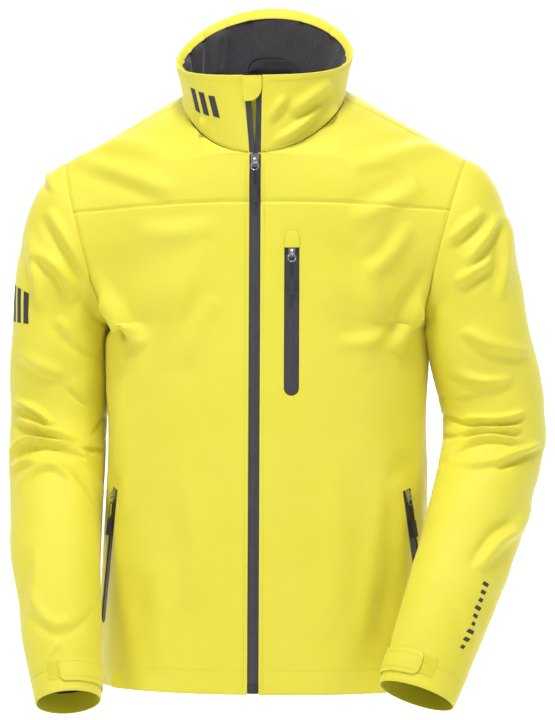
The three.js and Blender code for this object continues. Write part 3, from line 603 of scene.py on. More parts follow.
# ---- Cloth: grids of points turned into closed sheets with rounded edges ----

STEP = 1e-3


def way_out(surface, a, b, out):
    du = surface(a + STEP, b) - surface(a - STEP, b)
    dv = surface(a, b + STEP) - surface(a, b - STEP)
    return unit(np.cross(du, dv)) * out


def laid(surface, a, b, out, folds=None, depth=0.0):
    """Points on a surface, with its folds, moved in by a depth, and the way out at each."""
    a, b = np.broadcast_arrays(np.asarray(a, float), np.asarray(b, float))
    points = surface(a, b)
    normals = way_out(surface, a, b, out)
    rise = folds(points, normals, a, b) if folds else 0.0
    return points + normals * col(rise - depth), normals


def grid_normals(points, normals, closed):
    """The way out at each point of a grid, from its neighbours; rows that meet round a tube are joined."""
    if closed:
        ringed = np.concatenate([points[:, -2:-1], points, points[:, 1:2]], axis=1)
        across = np.gradient(ringed, axis=1)[:, 1:-1]
    else:
        across = np.gradient(points, axis=1)
    up = np.gradient(points, axis=0)
    n = unit(np.cross(across, up))
    return n * np.sign(np.sum(n * normals, axis=-1, keepdims=True))


def spaced(low, high, length, pitch, fine=True):
    """Even places from low to high over a length in mm, closer together near both ends."""
    count = max(int(round(length / pitch)), 2)
    even = np.linspace(0, 1, count + 1)
    if fine:
        near = np.array([0.5, 1.2, 2.2, 3.4]) / length
        even = np.unique(np.r_[even, near, 1 - near])
    return mix(low, high, even)


def edge_distance(points, edge):
    axis = 0 if edge in ("bottom", "top") else 1
    gaps = np.linalg.norm(np.diff(points, axis=axis), axis=-1)
    zero = np.zeros_like(np.take(gaps, [0], axis=axis))
    along = np.concatenate([zero, np.cumsum(gaps, axis=axis)], axis=axis)
    if edge in ("top", "right"):
        along = np.take(along, [-1], axis=axis) - along
    return along


def rolled(points, normals, edges, depth=1.0, reach=3.2):
    """Turns the named edges of a grid in a little, as a sewn seam does."""
    for edge in edges:
        sink = depth * (1 - ease(0, reach, edge_distance(points, edge)))
        points = points - normals * col(sink)
    return points


def grooved(points, normals, distance, depth=0.5, width=0.9):
    """Presses a sewn line into a grid where distance is zero."""
    return points - normals * col(depth * np.exp(-((distance / width) ** 2)))


def new_piece(name, verts, faces, material, normals=None):
    mesh = bpy.data.meshes.new(name)
    mesh.from_pydata(to_frame(verts).tolist(), [], faces)
    mesh.validate()
    mesh.polygons.foreach_set("use_smooth", [True] * len(mesh.polygons))
    if normals is not None:
        mesh.normals_split_custom_set_from_vertices(np.asarray(normals).tolist())
    piece = bpy.data.objects.new(name, mesh)
    bpy.context.scene.collection.objects.link(piece)
    mesh.materials.append(material)
    return piece


def quads(index):
    a, b = index[:-1, :-1], index[:-1, 1:]
    c, d = index[1:, 1:], index[1:, :-1]
    return np.stack([a, b, c, d], axis=-1).reshape(-1, 4)


def sheet(name, points, normals, thickness, material, closed=False, keep_normals=True):
    """A closed sheet: the outer face, the inner face and a rounded rim round every free edge."""
    rows, columns = points.shape[:2]
    width = columns - 1 if closed else columns
    n = grid_normals(points, normals, closed)[:, :width]
    outer = points[:, :width]
    index = np.arange(rows * width).reshape(rows, width)
    wrapped = np.concatenate([index, index[:, :1]], axis=1) if closed else index
    count = rows * width
    verts = [outer.reshape(-1, 3), (outer - n * thickness).reshape(-1, 3)]
    shown = [n.reshape(-1, 3), -n.reshape(-1, 3)]
    face = quads(wrapped)
    sample = face[0]
    flat = outer.reshape(-1, 3)
    turned = np.cross(flat[sample[1]] - flat[sample[0]], flat[sample[3]] - flat[sample[0]])
    if turned @ n.reshape(-1, 3)[sample[0]] < 0:
        face = face[:, ::-1]
    faces = [face, face[:, ::-1] + count]
    away = np.zeros_like(outer)
    away[0] += unit(outer[0] - outer[1])
    away[-1] += unit(outer[-1] - outer[-2])
    if not closed:
        away[:, 0] += unit(outer[:, 0] - outer[:, 1])
        away[:, -1] += unit(outer[:, -1] - outer[:, -2])
    if closed:
        rims = [np.r_[wrapped[0]], np.r_[wrapped[-1]][::-1]]
    else:
        rims = [np.r_[index[0, :-1], index[:-1, -1], index[-1, :0:-1], index[:0:-1, 0], index[0, 0]]]
    used = {tuple(e) for f in face.tolist() for e in zip(f, f[1:] + f[:1])}
    start = 2 * count
    for rim in rims:
        ring = rim[:-1]
        out = unit(away.reshape(-1, 3)[ring])
        middle = flat[ring] - n.reshape(-1, 3)[ring] * thickness / 2 + out * thickness * 0.45
        verts.append(middle)
        shown.append(out)
        here = start + np.arange(len(ring))
        start += len(ring)
        after = np.roll(here, -1)
        following = np.roll(ring, -1)
        forward = (int(ring[0]), int(following[0])) in used
        for a, b, c, d in ((ring, following, after, here), (here, after, following + count, ring + count)):
            strip = np.stack([a, b, c, d], axis=-1)
            faces.append(strip[:, ::-1] if forward else strip)
    return new_piece(
        name,
        np.vstack(verts),
        np.vstack(faces).tolist(),
        material,
        np.vstack(shown) if keep_normals else None,
    )


def fixed(piece, on, finish, *nodes):
    """A piece that rides on one body and stands for some CAD nodes, which are hidden; the finish argument is
    not used.
    """
    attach(piece, on)
    if nodes:
        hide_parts(*nodes)
    return piece


def cut_from(points):
    """The flat size of a grid of cloth, in metres, and its area."""
    across = np.linalg.norm(np.diff(points, axis=1), axis=-1).sum(axis=1)
    up = np.linalg.norm(np.diff(points, axis=0), axis=-1).sum(axis=0)
    a = np.linalg.norm(
        np.cross(points[:-1, 1:] - points[:-1, :-1], points[1:, :-1] - points[:-1, :-1]), axis=-1
    ).sum()
    b = np.linalg.norm(
        np.cross(points[1:, 1:] - points[:-1, 1:], points[1:, 1:] - points[1:, :-1]), axis=-1
    ).sum()
    flat = (float(across.max()) * MM, float(up.max()) * MM)
    area = float(a + b) / 2 * MM * MM
    return flat, area


def hung_sheet(piece, points):
    """Works out the flat size and area a piece was cut to, and hands the piece back unchanged."""
    flat, area = cut_from(points)
    return piece


# ---- Finishes ----

class Wire:
    """A value in a material; sums on it add Math nodes."""

    def __init__(self, finish, socket):
        self.finish = finish
        self.socket = socket

    def sum(self, operation, other, swapped=False):
        pair = (other, self) if swapped else (self, other)
        return self.finish.out("ShaderNodeMath", {"operation": operation}, {0: pair[0], 1: pair[1]}, "Value")

    def __add__(self, other):
        return self.sum("ADD", other)

    def __radd__(self, other):
        return self.sum("ADD", other, True)

    def __sub__(self, other):
        return self.sum("SUBTRACT", other)

    def __rsub__(self, other):
        return self.sum("SUBTRACT", other, True)

    def __mul__(self, other):
        return self.sum("MULTIPLY", other)

    def __rmul__(self, other):
        return self.sum("MULTIPLY", other, True)

    def __pow__(self, other):
        return self.sum("POWER", other)


class Finish:
    """A material and the one way to add a node to it."""

    def __init__(self, name):
        self.material = bpy.data.materials.new(name)
        self.material.use_nodes = True
        self.tree = self.material.node_tree
        self.shader = self.tree.nodes["Principled BSDF"]

    def node(self, kind, settings=None, inputs=None):
        node = self.tree.nodes.new(kind)
        for key, value in (settings or {}).items():
            if key == "stops":
                self.set_stops(node.color_ramp, value)
            else:
                setattr(node, key, value)
        for key, value in (inputs or {}).items():
            if isinstance(value, Wire):
                self.tree.links.new(value.socket, node.inputs[key])
            else:
                node.inputs[key].default_value = value
        return node

    def out(self, kind, settings, inputs, output):
        return Wire(self, self.node(kind, settings, inputs).outputs[output])

    @staticmethod
    def set_stops(ramp, stops):
        while len(ramp.elements) < len(stops):
            ramp.elements.new(0.5)
        for element, (place, grey) in zip(ramp.elements, stops):
            element.position = place
            element.color = (grey, grey, grey, 1)

    def place(self):
        return self.out("ShaderNodeTexCoord", {}, {}, "Object")

    def noise(self, scale, detail=2.0, stretch=(1, 1, 1)):
        at = self.out(
            "ShaderNodeVectorMath", {"operation": "MULTIPLY"}, {0: self.place(), 1: stretch}, "Vector"
        )
        return self.out(
            "ShaderNodeTexNoise", {}, {"Vector": at, "Scale": scale, "Detail": detail}, "Fac"
        )

    def threads(self, scale, way):
        return self.out(
            "ShaderNodeTexWave",
            {"bands_direction": way},
            {"Vector": self.place(), "Scale": scale, "Distortion": 0.6, "Detail": 0.0},
            "Fac",
        )

    def tint(self, low, high, share):
        mixed = self.node("ShaderNodeMix", {"data_type": "RGBA"}, {"Factor": share})
        mixed.inputs[6].default_value = (*low, 1)
        mixed.inputs[7].default_value = (*high, 1)
        return Wire(self, mixed.outputs[2])

    def set(self, **values):
        for key, value in values.items():
            socket = self.shader.inputs[key.replace("_", " ")]
            if isinstance(value, Wire):
                self.tree.links.new(value.socket, socket)
            else:
                socket.default_value = value
        return self

    def bump(self, height, distance):
        normal = self.out("ShaderNodeBump", {}, {"Height": height, "Distance": distance}, "Normal")
        return self.set(Normal=normal)


def woven(name, low, high, pitch, roughness, sheen, depth, patch=9.0, gloss=0.08):
    """Plain-woven cloth: fine threads both ways, slightly uneven in colour and gloss."""
    finish = Finish(name)
    weave = (finish.threads(pitch, "X") + finish.threads(pitch, "Z")) * 0.5
    uneven = finish.noise(patch, 3.0)
    fine = finish.noise(900.0, 2.0)
    finish.set(
        Base_Color=finish.tint(low, high, uneven * 0.7 + fine * 0.3),
        Roughness=roughness + (uneven - 0.5) * gloss + (fine - 0.5) * 0.06,
        Sheen_Weight=sheen,
        Sheen_Roughness=0.45,
        Specular_IOR_Level=0.4,
    )
    finish.bump(weave * 0.7 + fine * 0.3 + finish.noise(140.0, 4.0) * 0.6, depth)
    return finish.material


def brushed_fleece():
    finish = Finish("brushed_fleece")
    nap = finish.noise(420.0, 5.0, (1, 1, 0.35))
    knit = finish.threads(260.0, "X")
    finish.set(
        Base_Color=finish.tint((0.016, 0.014, 0.017), (0.06, 0.054, 0.06), nap),
        Roughness=0.82 + nap * 0.15,
        Sheen_Weight=0.35,
        Sheen_Roughness=0.4,
    )
    finish.bump(nap * 0.8 + knit * 0.2, 0.0009)
    return finish.material


def laminated_tape():
    finish = Finish("laminated_zip_tape")
    ribs = finish.threads(420.0, "Z")
    wear = finish.noise(60.0, 4.0)
    finish.set(
        Base_Color=finish.tint((0.022, 0.021, 0.028), (0.05, 0.048, 0.058), wear),
        Roughness=0.42 + wear * 0.16,
        Coat_Weight=0.12,
        Coat_Roughness=0.35,
    )
    finish.bump(ribs * 0.5 + wear * 0.5, 0.00015)
    return finish.material


def ribbed_tape():
    finish = Finish("ribbed_trim_tape")
    ribs = finish.threads(520.0, "X")
    fine = finish.noise(800.0, 2.0)
    finish.set(
        Base_Color=finish.tint((0.02, 0.02, 0.024), (0.055, 0.053, 0.06), ribs * 0.6 + fine * 0.4),
        Roughness=0.8 + fine * 0.12,
    )
    finish.bump(ribs, 0.0002)
    return finish.material


def hook_tape(name, low, high):
    finish = Finish(name)
    hooks = finish.noise(1300.0, 2.0)
    finish.set(Base_Color=finish.tint(low, high, hooks), Roughness=0.75 + hooks * 0.2)
    finish.bump(hooks, 0.0008)
    return finish.material


def plated_metal():
    finish = Finish("dark_satin_plating")
    scuffs = finish.noise(300.0, 5.0, (1, 1, 0.15))
    finish.set(
        Base_Color=finish.tint((0.30, 0.30, 0.32), (0.62, 0.62, 0.64), scuffs),
        Metallic=1.0,
        Roughness=0.2 + scuffs * 0.22,
    )
    finish.bump(scuffs, 0.00006)
    return finish.material


def braided_cord():
    finish = Finish("braided_cord")
    strands = finish.threads(900.0, "DIAGONAL")
    finish.set(
        Base_Color=finish.tint((0.012, 0.012, 0.016), (0.045, 0.043, 0.05), strands),
        Roughness=0.7 + strands * 0.15,
    )
    finish.bump(strands, 0.0003)
    return finish.material


def moulded(name, low, high, roughness):
    finish = Finish(name)
    grain = finish.noise(1500.0, 3.0)
    marks = finish.noise(90.0, 3.0)
    finish.set(
        Base_Color=finish.tint(low, high, marks * 0.6 + grain * 0.4),
        Roughness=roughness + grain * 0.15,
    )
    finish.bump(grain, 0.00008)
    return finish.material


YELLOW_LOW = (0.74, 0.66, 0.02)
YELLOW_HIGH = (0.83, 0.76, 0.085)
shell_cloth = woven("shell_cloth", YELLOW_LOW, YELLOW_HIGH, 700.0, 0.5, 0.12, 0.00012)
# The same yellow shell cloth made darker: painted shade for the inside of the turned-up cuff.
shell_cloth_painted_shade = woven(
    "shell_cloth_with_painted_shade", (0.55, 0.5, 0.01), (0.62, 0.57, 0.015), 700.0, 0.62, 0.05, 0.0001
)
lining_cloth = woven("lining_taffeta", (0.045, 0.045, 0.05), (0.075, 0.075, 0.082), 900.0, 0.55, 0.1, 0.0001)
thread = woven("sewing_thread", (0.62, 0.57, 0.01), (0.74, 0.69, 0.02), 1500.0, 0.6, 0.1, 0.0001)
fleece = brushed_fleece()
zip_tape = laminated_tape()
trim_tape = ribbed_tape()
loop_tape = hook_tape("soft_loop_tape", (0.68, 0.6, 0.02), (0.8, 0.73, 0.06))
metal = plated_metal()
cord_finish = braided_cord()
grip_rubber = moulded("moulded_grip", (0.02, 0.02, 0.025), (0.045, 0.045, 0.052), 0.45)
zip_plastic = moulded("moulded_zip_teeth", (0.02, 0.02, 0.025), (0.04, 0.04, 0.048), 0.38)
print_ink = moulded("rubbery_print", (0.03, 0.028, 0.036), (0.045, 0.043, 0.052), 0.55)

# ---- Zips: their own frames come from the joints ----

def zip_frame(name):
    """A zip's way down, across and outward, and its slider's place on the cloth."""
    down = unit(np.array(joints[f"{name}_slide"]["axis"]))
    across = -unit(np.array(joints[f"{name}_pull_swing"]["axis"]))
    outward = unit(np.cross(down, across))
    pivot = from_frame(joints[f"{name}_pull_swing"]["pos_m"])
    centre = pivot - outward * PIVOT_HEIGHT - down * PIVOT_DROP
    travel = joints[f"{name}_slide"]["range_m"][1] / MM
    return {
        "down": down,
        "across": across,
        "outward": outward,
        "top": centre - down * POCKET_SLIDER_LENGTH / 2,
        "length": travel + POCKET_SLIDER_LENGTH + 4.5,
    }


POCKETS = {
    "chest_zip": {"side": 1, "bag": "chest_pocket_bag"},
    "left_pocket_zip": {"side": 1, "bag": "left_pocket_bag"},
    "right_pocket_zip": {"side": -1, "bag": "right_pocket_bag"},
}
frames = {name: zip_frame(name) for name in POCKETS}
SLOT_HALF = 9.0


def in_zip(zip_at, across, down, out):
    """Points given across, down and out of a zip, in working millimetres."""
    return (
        zip_at["top"]
        + col(across) * zip_at["across"]
        + col(down) * zip_at["down"]
        + col(out) * zip_at["outward"]
    )


def flattened(points, zip_at):
    """Draws the cloth round a zip onto the zip's own flat face."""
    local = points - zip_at["top"]
    across, down, out = (local @ zip_at[k] for k in ("across", "down", "outward"))
    beside = np.maximum(np.abs(across) - SLOT_HALF - 3, 0)
    beyond = np.maximum(np.maximum(-down - 3, down - zip_at["length"] - 3), 0)
    near = (1 - ease(0, 26, np.hypot(beside, beyond))) * (np.abs(out) < 25)
    return points - col(near * out) * zip_at["outward"]


def slot_cutter(zip_at):
    turns = np.linspace(0, math.pi, 13)
    end = zip_at["length"] - SLOT_HALF + 0.5
    outline = [(-SLOT_HALF, -0.5)]
    outline += [(-SLOT_HALF * math.cos(t), end + SLOT_HALF * math.sin(t)) for t in turns]
    outline += [(SLOT_HALF, -0.5)]
    a, d = np.array(outline).T
    count = len(outline)
    verts = np.vstack([in_zip(zip_at, a, d, np.full(count, o)) for o in (-9.0, 9.0)])
    faces = [list(range(count - 1, -1, -1)), list(range(count, 2 * count))]
    faces += [[i, (i + 1) % count, (i + 1) % count + count, i + count] for i in range(count)]
    return new_piece("slot_cutter", verts, faces, shell_cloth)


def cut_slot(piece, zip_at):
    cutter = slot_cutter(zip_at)
    tool = piece.modifiers.new("slot", "BOOLEAN")
    tool.operation = "DIFFERENCE"
    tool.solver = "EXACT"
    tool.object = cutter
    bpy.context.view_layer.update()
    made = bpy.data.meshes.new_from_object(piece.evaluated_get(bpy.context.evaluated_depsgraph_get()))
    piece.modifiers.clear()
    piece.data = made
    bpy.data.objects.remove(cutter)
    made.polygons.foreach_set("use_smooth", [True] * len(made.polygons))
    made.set_sharp_from_angle(angle=math.radians(50))


# ---- Stitches ----

def stitches(name, runs, on, pitch=3.4, length=2.5, half=0.28):
    """Rows of thread along (points, normals) runs, made as one piece."""
    verts, faces = [], []
    for points, normals in runs:
        way = np.r_[0, np.cumsum(np.linalg.norm(np.diff(points, axis=0), axis=1))]
        places = np.arange(pitch / 2, way[-1] - pitch / 2, pitch)
        at = np.stack([np.interp(places, way, points[:, k]) for k in range(3)], axis=-1)
        up = unit(np.stack([np.interp(places, way, normals[:, k]) for k in range(3)], axis=-1))
        tangent = np.gradient(points, axis=0)
        along = unit(np.stack([np.interp(places, way, tangent[:, k]) for k in range(3)], axis=-1))
        beside = np.cross(up, along)
        rings = []
        for share, size in ((-0.5, 0.25), (-0.3, 1.0), (0.3, 1.0), (0.5, 0.25)):
            for turn in range(4):
                a = math.pi / 2 * turn + math.pi / 4
                rim = beside * math.cos(a) * half * size + up * (math.sin(a) * half * size + 0.12)
                rings.append(at + along * share * length + rim)
        block = np.stack(rings, axis=1)
        start = sum(len(v) for v in verts)
        verts.append(block.reshape(-1, 3))
        for i in range(len(places)):
            b = start + 16 * i
            faces += [[b + 3, b + 2, b + 1, b], [b + 12, b + 13, b + 14, b + 15]]
            for r in range(3):
                for t in range(4):
                    p, q = b + 4 * r + t, b + 4 * r + (t + 1) % 4
                    faces.append([p, q, q + 4, p + 4])
    piece = new_piece(name, np.vstack(verts), faces, thread)
    return fixed(piece, on, "shell_cloth")


# ---- Body of the jacket ----

PITCH = 3.4


def front_surface(side):
    def surface(share, v):
        return body(side, -1, mix(inner_share(FRONT_EDGE, -1, v), 1.0, share), v)
    return surface


def front_grid(side, low, high, length):
    """A front from low to high, with the way out and the height of each point."""
    shares = spaced(0, 1, 240, PITCH)
    rows = spaced(low, high, length, PITCH)
    a, b = np.meshgrid(shares, rows)
    points, normals = laid(front_surface(side), a, b, side, body_folds(-1))
    return points, normals, b


def hem_distance(v):
    return v * ARMPIT_Z / AT_ARMPIT - HEM_TURN


def front_panels():
    for name, side in (("left", 1), ("right", -1)):
        points, normals, v = front_grid(side, 0, AT_YOKE, 600)
        for zip_name, pocket in POCKETS.items():
            if pocket["side"] == side:
                points = flattened(points, frames[zip_name])
        points = rolled(points, normals, ["top", "right"])
        points = rolled(points, normals, ["bottom"], 0.8, 2.5)
        points = grooved(points, normals, hem_distance(v))
        panel = sheet(
            f"{name}_front_panel_cloth", points, normals, SHELL_THICKNESS, shell_cloth, keep_normals=False
        )
        for zip_name, pocket in POCKETS.items():
            if pocket["side"] == side:
                cut_slot(panel, frames[zip_name])
        fixed(panel, "jacket_body", "shell_cloth", f"{name}_front_panel")
        hung_sheet(panel, points)
        points, normals, v = front_grid(side, AT_YOKE, 1.0, 190)
        points = rolled(points, normals, ["bottom", "top", "right"])
        yoke = sheet(f"{name}_front_yoke_cloth", points, normals, SHELL_THICKNESS, shell_cloth)
        fixed(yoke, "jacket_body", "shell_cloth", f"{name}_front_yoke")
        hung_sheet(yoke, points)


def back_surface(u, v):
    place = body(1, 1, np.abs(u), v)
    return place * np.stack([np.sign(u + 1e-12), np.ones_like(u), np.ones_like(u)], axis=-1)


def back_pieces():
    shares = spaced(-1, 1, 520, PITCH)
    a, b = np.meshgrid(shares, spaced(0, AT_YOKE, 610, PITCH))
    points, normals = laid(back_surface, a, b, -1, body_folds(1))
    points = rolled(points, normals, ["top", "left", "right"])
    points = rolled(points, normals, ["bottom"], 0.8, 2.5)
    points = grooved(points, normals, hem_distance(b))
    panel = sheet("back_panel_cloth", points, normals, SHELL_THICKNESS, shell_cloth)
    hung_sheet(fixed(panel, "jacket_body", "shell_cloth", "back_panel"), points)
    for name, side in (("left", 1), ("right", -1)):
        surface = lambda u, v, side=side: body(side, 1, u, v)
        a, b = np.meshgrid(spaced(0, 1, 250, PITCH, False), spaced(AT_YOKE, 1.0, 200, PITCH))
        points, normals = laid(surface, a, b, -side, body_folds(1))
        points = rolled(points, normals, ["bottom", "top", "right"])
        yoke = sheet(f"back_yoke_{name}_half", points, normals, SHELL_THICKNESS, shell_cloth)
        fixed(yoke, "jacket_body", "shell_cloth", "back_yoke")
        hung_sheet(yoke, points)


def body_linings():
    def wavy(points, normals, a, b):
        return 1.2 * ripple(points, 120, 41) - 0.4
    for name, side in (("left", 1), ("right", -1)):
        surface = lambda share, v, side=side: body(
            side, -1, mix(inner_share(18.0, -1, v), 0.985, share), v
        )
        a, b = np.meshgrid(spaced(0, 1, 230, 9, False), spaced(0.02, 0.985, 760, 9, False))
        points, normals = laid(surface, a, b, side, wavy, LINING_DEPTH)
        lining = sheet(f"{name}_front_lining_cloth", points, normals, 0.8, lining_cloth)
        fixed(lining, "jacket_body", "lining_cloth", f"{name}_front_lining")
        hung_sheet(lining, points)
        facing = lambda share, v, side=side: body(
            side, -1, mix(row_share(7.5, -1, v), row_share(18.0, -1, v), share), v
        )
        a, b = np.meshgrid(np.linspace(0, 1, 5), spaced(0.004, AT_NECK - 0.004, 640, 8, False))
        points, normals = laid(facing, a, b, side, None, 3.4)
        strip = sheet(f"{name}_zip_facing_cloth", points, normals, 0.8, shell_cloth)
        fixed(strip, "jacket_body", "shell_cloth", f"{name}_zip_facing")
        hung_sheet(strip, points)
        shoulder = lambda u, v, side=side: body(side, 1, u, v)
        a, b = np.meshgrid(spaced(0.02, 0.985, 200, 9, False), spaced(AT_NECK - 0.01, 0.985, 110, 9, False))
        points, normals = laid(shoulder, a, b, -side, None, LINING_DEPTH)
        half = sheet(f"{name}_shoulder_lining_cloth", points, normals, 0.8, lining_cloth)
        fixed(half, "jacket_body", "lining_cloth")
        hung_sheet(half, points)
    a, b = np.meshgrid(spaced(-0.985, 0.985, 500, 9, False), spaced(0.02, AT_NECK - 0.01, 700, 9, False))
    points, normals = laid(back_surface, a, b, -1, wavy, LINING_DEPTH)
    lining = sheet("back_lining_cloth", points, normals, 0.8, lining_cloth)
    fixed(lining, "jacket_body", "lining_cloth", "back_lining")
    hung_sheet(lining, points)


def pocket_bags():
    ends = {
        "chest_pocket_bag": (27, CHEST_HALF_WIDTH - 40, 335, 560),
        "left_pocket_bag": (CHEST_HALF_WIDTH - 130, CHEST_HALF_WIDTH - 10, 40, 262),
        "right_pocket_bag": (CHEST_HALF_WIDTH - 130, CHEST_HALF_WIDTH - 10, 40, 262),
    }
    for pocket in POCKETS.values():
        x0, x1, z0, z1 = ends[pocket["bag"]]
        side = pocket["side"]
        surface = lambda share, v: body(
            side, -1, mix(row_share(x0, -1, v), row_share(x1, -1, v), share), v
        )
        a, b = np.meshgrid(np.linspace(0, 1, 22), np.linspace(row_at(z0), row_at(z1), 36))
        tray = np.minimum(ease(0, 0.1, a) * ease(0, 0.1, 1 - a), ease(row_at(z0), row_at(z0 + 22), b))
        points, normals = laid(surface, a, b, side, lambda p, n, u, v: -4.2 * tray, 4.6)
        bag = sheet(f"{pocket['bag']}_cloth", points, normals, 0.8, lining_cloth)
        fixed(bag, "jacket_body", "lining_cloth", pocket["bag"])
        hung_sheet(bag, points)


# ---- Collar ----

# The facing's way up the inside of the collar and over its edge: share of the height, and depth in mm.
FACING_WRAP = (
    (0.858, 7.4), (0.87, 7.4), (0.89, 6.9), (0.93, 5.6), (0.97, 4.4), (0.995, 3.0),
    (1.008, 2.3), (1.013, 1.4), (1.01, 0.5), (1.0, 0.05), (0.992, 0.25),
)
# Where the facing inside the collar's top edge puckers: share round, half width and height in mm.
COLLAR_PLEATS = (
    (0.20, 4, 2.0), (0.27, 3, 1.6), (0.36, 4, 2.2), (0.44, 3, 1.8), (0.55, 4, 2.0), (0.60, 3, 1.8),
    (0.66, 4, 2.4), (0.71, 3, 2.0), (0.76, 4, 1.8), (0.80, 3, 2.2), (0.86, 4, 1.6),
)

def collar_pieces():
    shares = spaced(0, 1, 640, PITCH)
    a, b = np.meshgrid(shares, spaced(0, 1, 92, PITCH))
    points, normals = laid(collar, a, b, 1, collar_folds)
    points = rolled(points, normals, ["bottom"])
    shell = sheet("collar_shell_cloth", points, normals, SHELL_THICKNESS, shell_cloth)
    fixed(shell, "jacket_body", "shell_cloth", "collar_shell")
    hung_sheet(shell, points)

    a, b = np.meshgrid(shares, spaced(0.0, 0.885, 82, PITCH))
    points, normals = laid(collar, a, b, 1, lining_folds, 3.6)
    lining = sheet("collar_fleece_lining", points, normals, 2.0, fleece)
    fixed(lining, "jacket_body", "collar_fleece", "collar_lining")
    hung_sheet(lining, points)

    a, level = np.meshgrid(spaced(0, 1, 640, 2.6), np.arange(len(FACING_WRAP), dtype=float))
    height, depth = np.moveaxis(np.array(FACING_WRAP)[level.astype(int)], -1, 0)
    base, normals = laid(collar, a, np.minimum(height, 1.0), 1, collar_folds)
    lift = np.array([0, 0, 1.0]) * col(np.maximum(height - 1, 0) * 90)
    pleats = sum(
        push * np.exp(-(((a - place) * 620 / width) ** 2))
        for place, width, push in COLLAR_PLEATS
    )
    points = base - normals * col(depth + pleats * ease(1.5, 3.5, depth)) + lift
    turn = ease(-0.2, 1.0, (level - 5) / 4) * math.pi
    facing_out = -normals * col(np.cos(turn)) + np.array([0, 0, 1.0]) * col(np.sin(turn))
    facing = sheet("collar_facing_cloth", points, facing_out, 0.9, shell_cloth)
    fixed(facing, "jacket_body", "shell_cloth", "collar_facing")
    hung_sheet(facing, points)

    a, b = np.meshgrid(spaced(0.36, 0.64, 170, 5, False), np.linspace(0, 0.12, 5))
    points, normals = laid(collar, a, b, 1, None, 5.6)
    tape = sheet("neck_tape_ribbon", points, normals, 0.8, trim_tape)
    fixed(tape, "jacket_body", "trim_tape", "neck_tape")
    hung_sheet(tape, points)


def lining_folds(points, normals, share, high):
    """The fleece stands off the shell in a few soft rolls, most of them at the wearer's right."""
    rolls = sum(
        size * np.exp(-(((share + 0.03 * high - place) * 620 / width) ** 2))
        for place, width, size in ((0.64, 13, 8), (0.70, 12, 6), (0.77, 14, 9), (0.34, 15, 3), (0.24, 12, 4))
    )
    total = 1.6 * ripple(points, 60, 15) + 0.5 * ripple(points, 28, 16) - rolls
    own = np.minimum(total * ease(0, 0.15, high) * (1 - ease(0.72, 0.88, high)) - 0.4, 0.6)
    return own + np.minimum(collar_folds(points, normals, share, high), 0)


# ---- Main zip ----

def zip_line(z):
    height = np.clip((z - NECK_FRONT_Z) / (COLLAR_FRONT_Z - NECK_FRONT_Z), 0, 1)
    collar_y = mix(-FRONT_DEPTH_AT_NECK, -FRONT_DEPTH_AT_NECK - 8, height)
    return height, np.where(height > 0, collar_y, front_y(z))


def tape_edge(side_name, z):
    """How far the main zip's tape edge lies from the centre: closed below the slider, open above it."""
    height, _ = zip_line(z)
    return ZIP_GAP / 2 * (height > 0) + 0.12 + COLLAR_SPREAD[side_name] * height


def upright(across, z, depth):
    """A flat grid along the centre front, at its places across and up and a depth behind the cloth."""
    _, y = zip_line(z)
    points = np.stack([across, y + depth, z], axis=-1)
    normals = np.zeros_like(points)
    normals[..., 1] = -1.0
    return points, normals


def main_zip():
    for name, side in (("left", 1), ("right", -1)):
        shares = np.array([0.0, 0.06, 0.14, 0.3, 0.6, 1.0])
        a, z = np.meshgrid(shares, spaced(1.5, COLLAR_FRONT_Z - 14, 712, 5))
        across = side * (tape_edge(name, z) + a * (MAIN_TAPE_WIDTH + 4.4))
        points, normals = upright(across, z, TAPE_DEPTH - 0.5 + 0.5 * ease(0, 0.3, a))
        ribbon = sheet(f"main_zip_{name}_ribbon", points, normals, TAPE_THICKNESS, zip_tape)
        fixed(ribbon, "jacket_body", "zip_tape", f"main_zip_{name}_tape")
        hung_sheet(ribbon, points)
        teeth(f"main_zip_{name}_teeth", side, name)


def rods(name, centres, along, size, on):
    """A row of small rounded blocks, each given by its centre and the three ways of its edges."""
    verts, faces = [], []
    corner = [(x, y, z) for z in (-1, 1) for x, y in ((-1, -0.6), (-0.6, -1), (0.6, -1), (1, -0.6),
                                                      (1, 0.6), (0.6, 1), (-0.6, 1), (-1, 0.6))]
    for i, centre in enumerate(centres):
        block = np.array([sum(c * s * w for c, s, w in zip(k, size, along)) for k in corner])
        verts.append(block + centre)
        b = 16 * i
        faces += [[b + k for k in range(7, -1, -1)], [b + 8 + k for k in range(8)]]
        faces += [[b + k, b + (k + 1) % 8, b + 8 + (k + 1) % 8, b + 8 + k] for k in range(8)]
    piece = new_piece(name, np.vstack(verts), faces, zip_plastic)
    piece.data.set_sharp_from_angle(angle=math.radians(50))
    return fixed(piece, on, "zip_plastic")


def teeth(name, side, side_name):
    z = np.arange(13.0 + (side > 0) * 0.8, COLLAR_FRONT_Z - 16, 1.6)
    _, y = zip_line(z)
    reach = tape_edge(side_name, z)
    centres = np.stack([side * (reach - 0.25), y + TAPE_DEPTH + 0.35, z], axis=-1)
    ways = (np.array([1.0, 0, 0]), np.array([0, 1.0, 0]), np.array([0, 0, 1.0]))
    rods(name, centres, ways, (0.75, 0.6, 0.5), "jacket_body")


def storm_flap():
    a, z = np.meshgrid(spaced(-1, 1, 40, 4, False), spaced(3, COLLAR_FRONT_Z - 3, 722, 6, False))
    crown = 2.2 * np.cos(a * math.pi / 2) * ease(NECK_FRONT_Z - 40, NECK_FRONT_Z, z)
    points, normals = upright(a * 20, z, 8.6 - crown)
    flap = sheet("storm_flap_cloth", points, normals, 1.0, shell_cloth)
    fixed(flap, "jacket_body", "shell_cloth", "storm_flap")
    hung_sheet(flap, points)


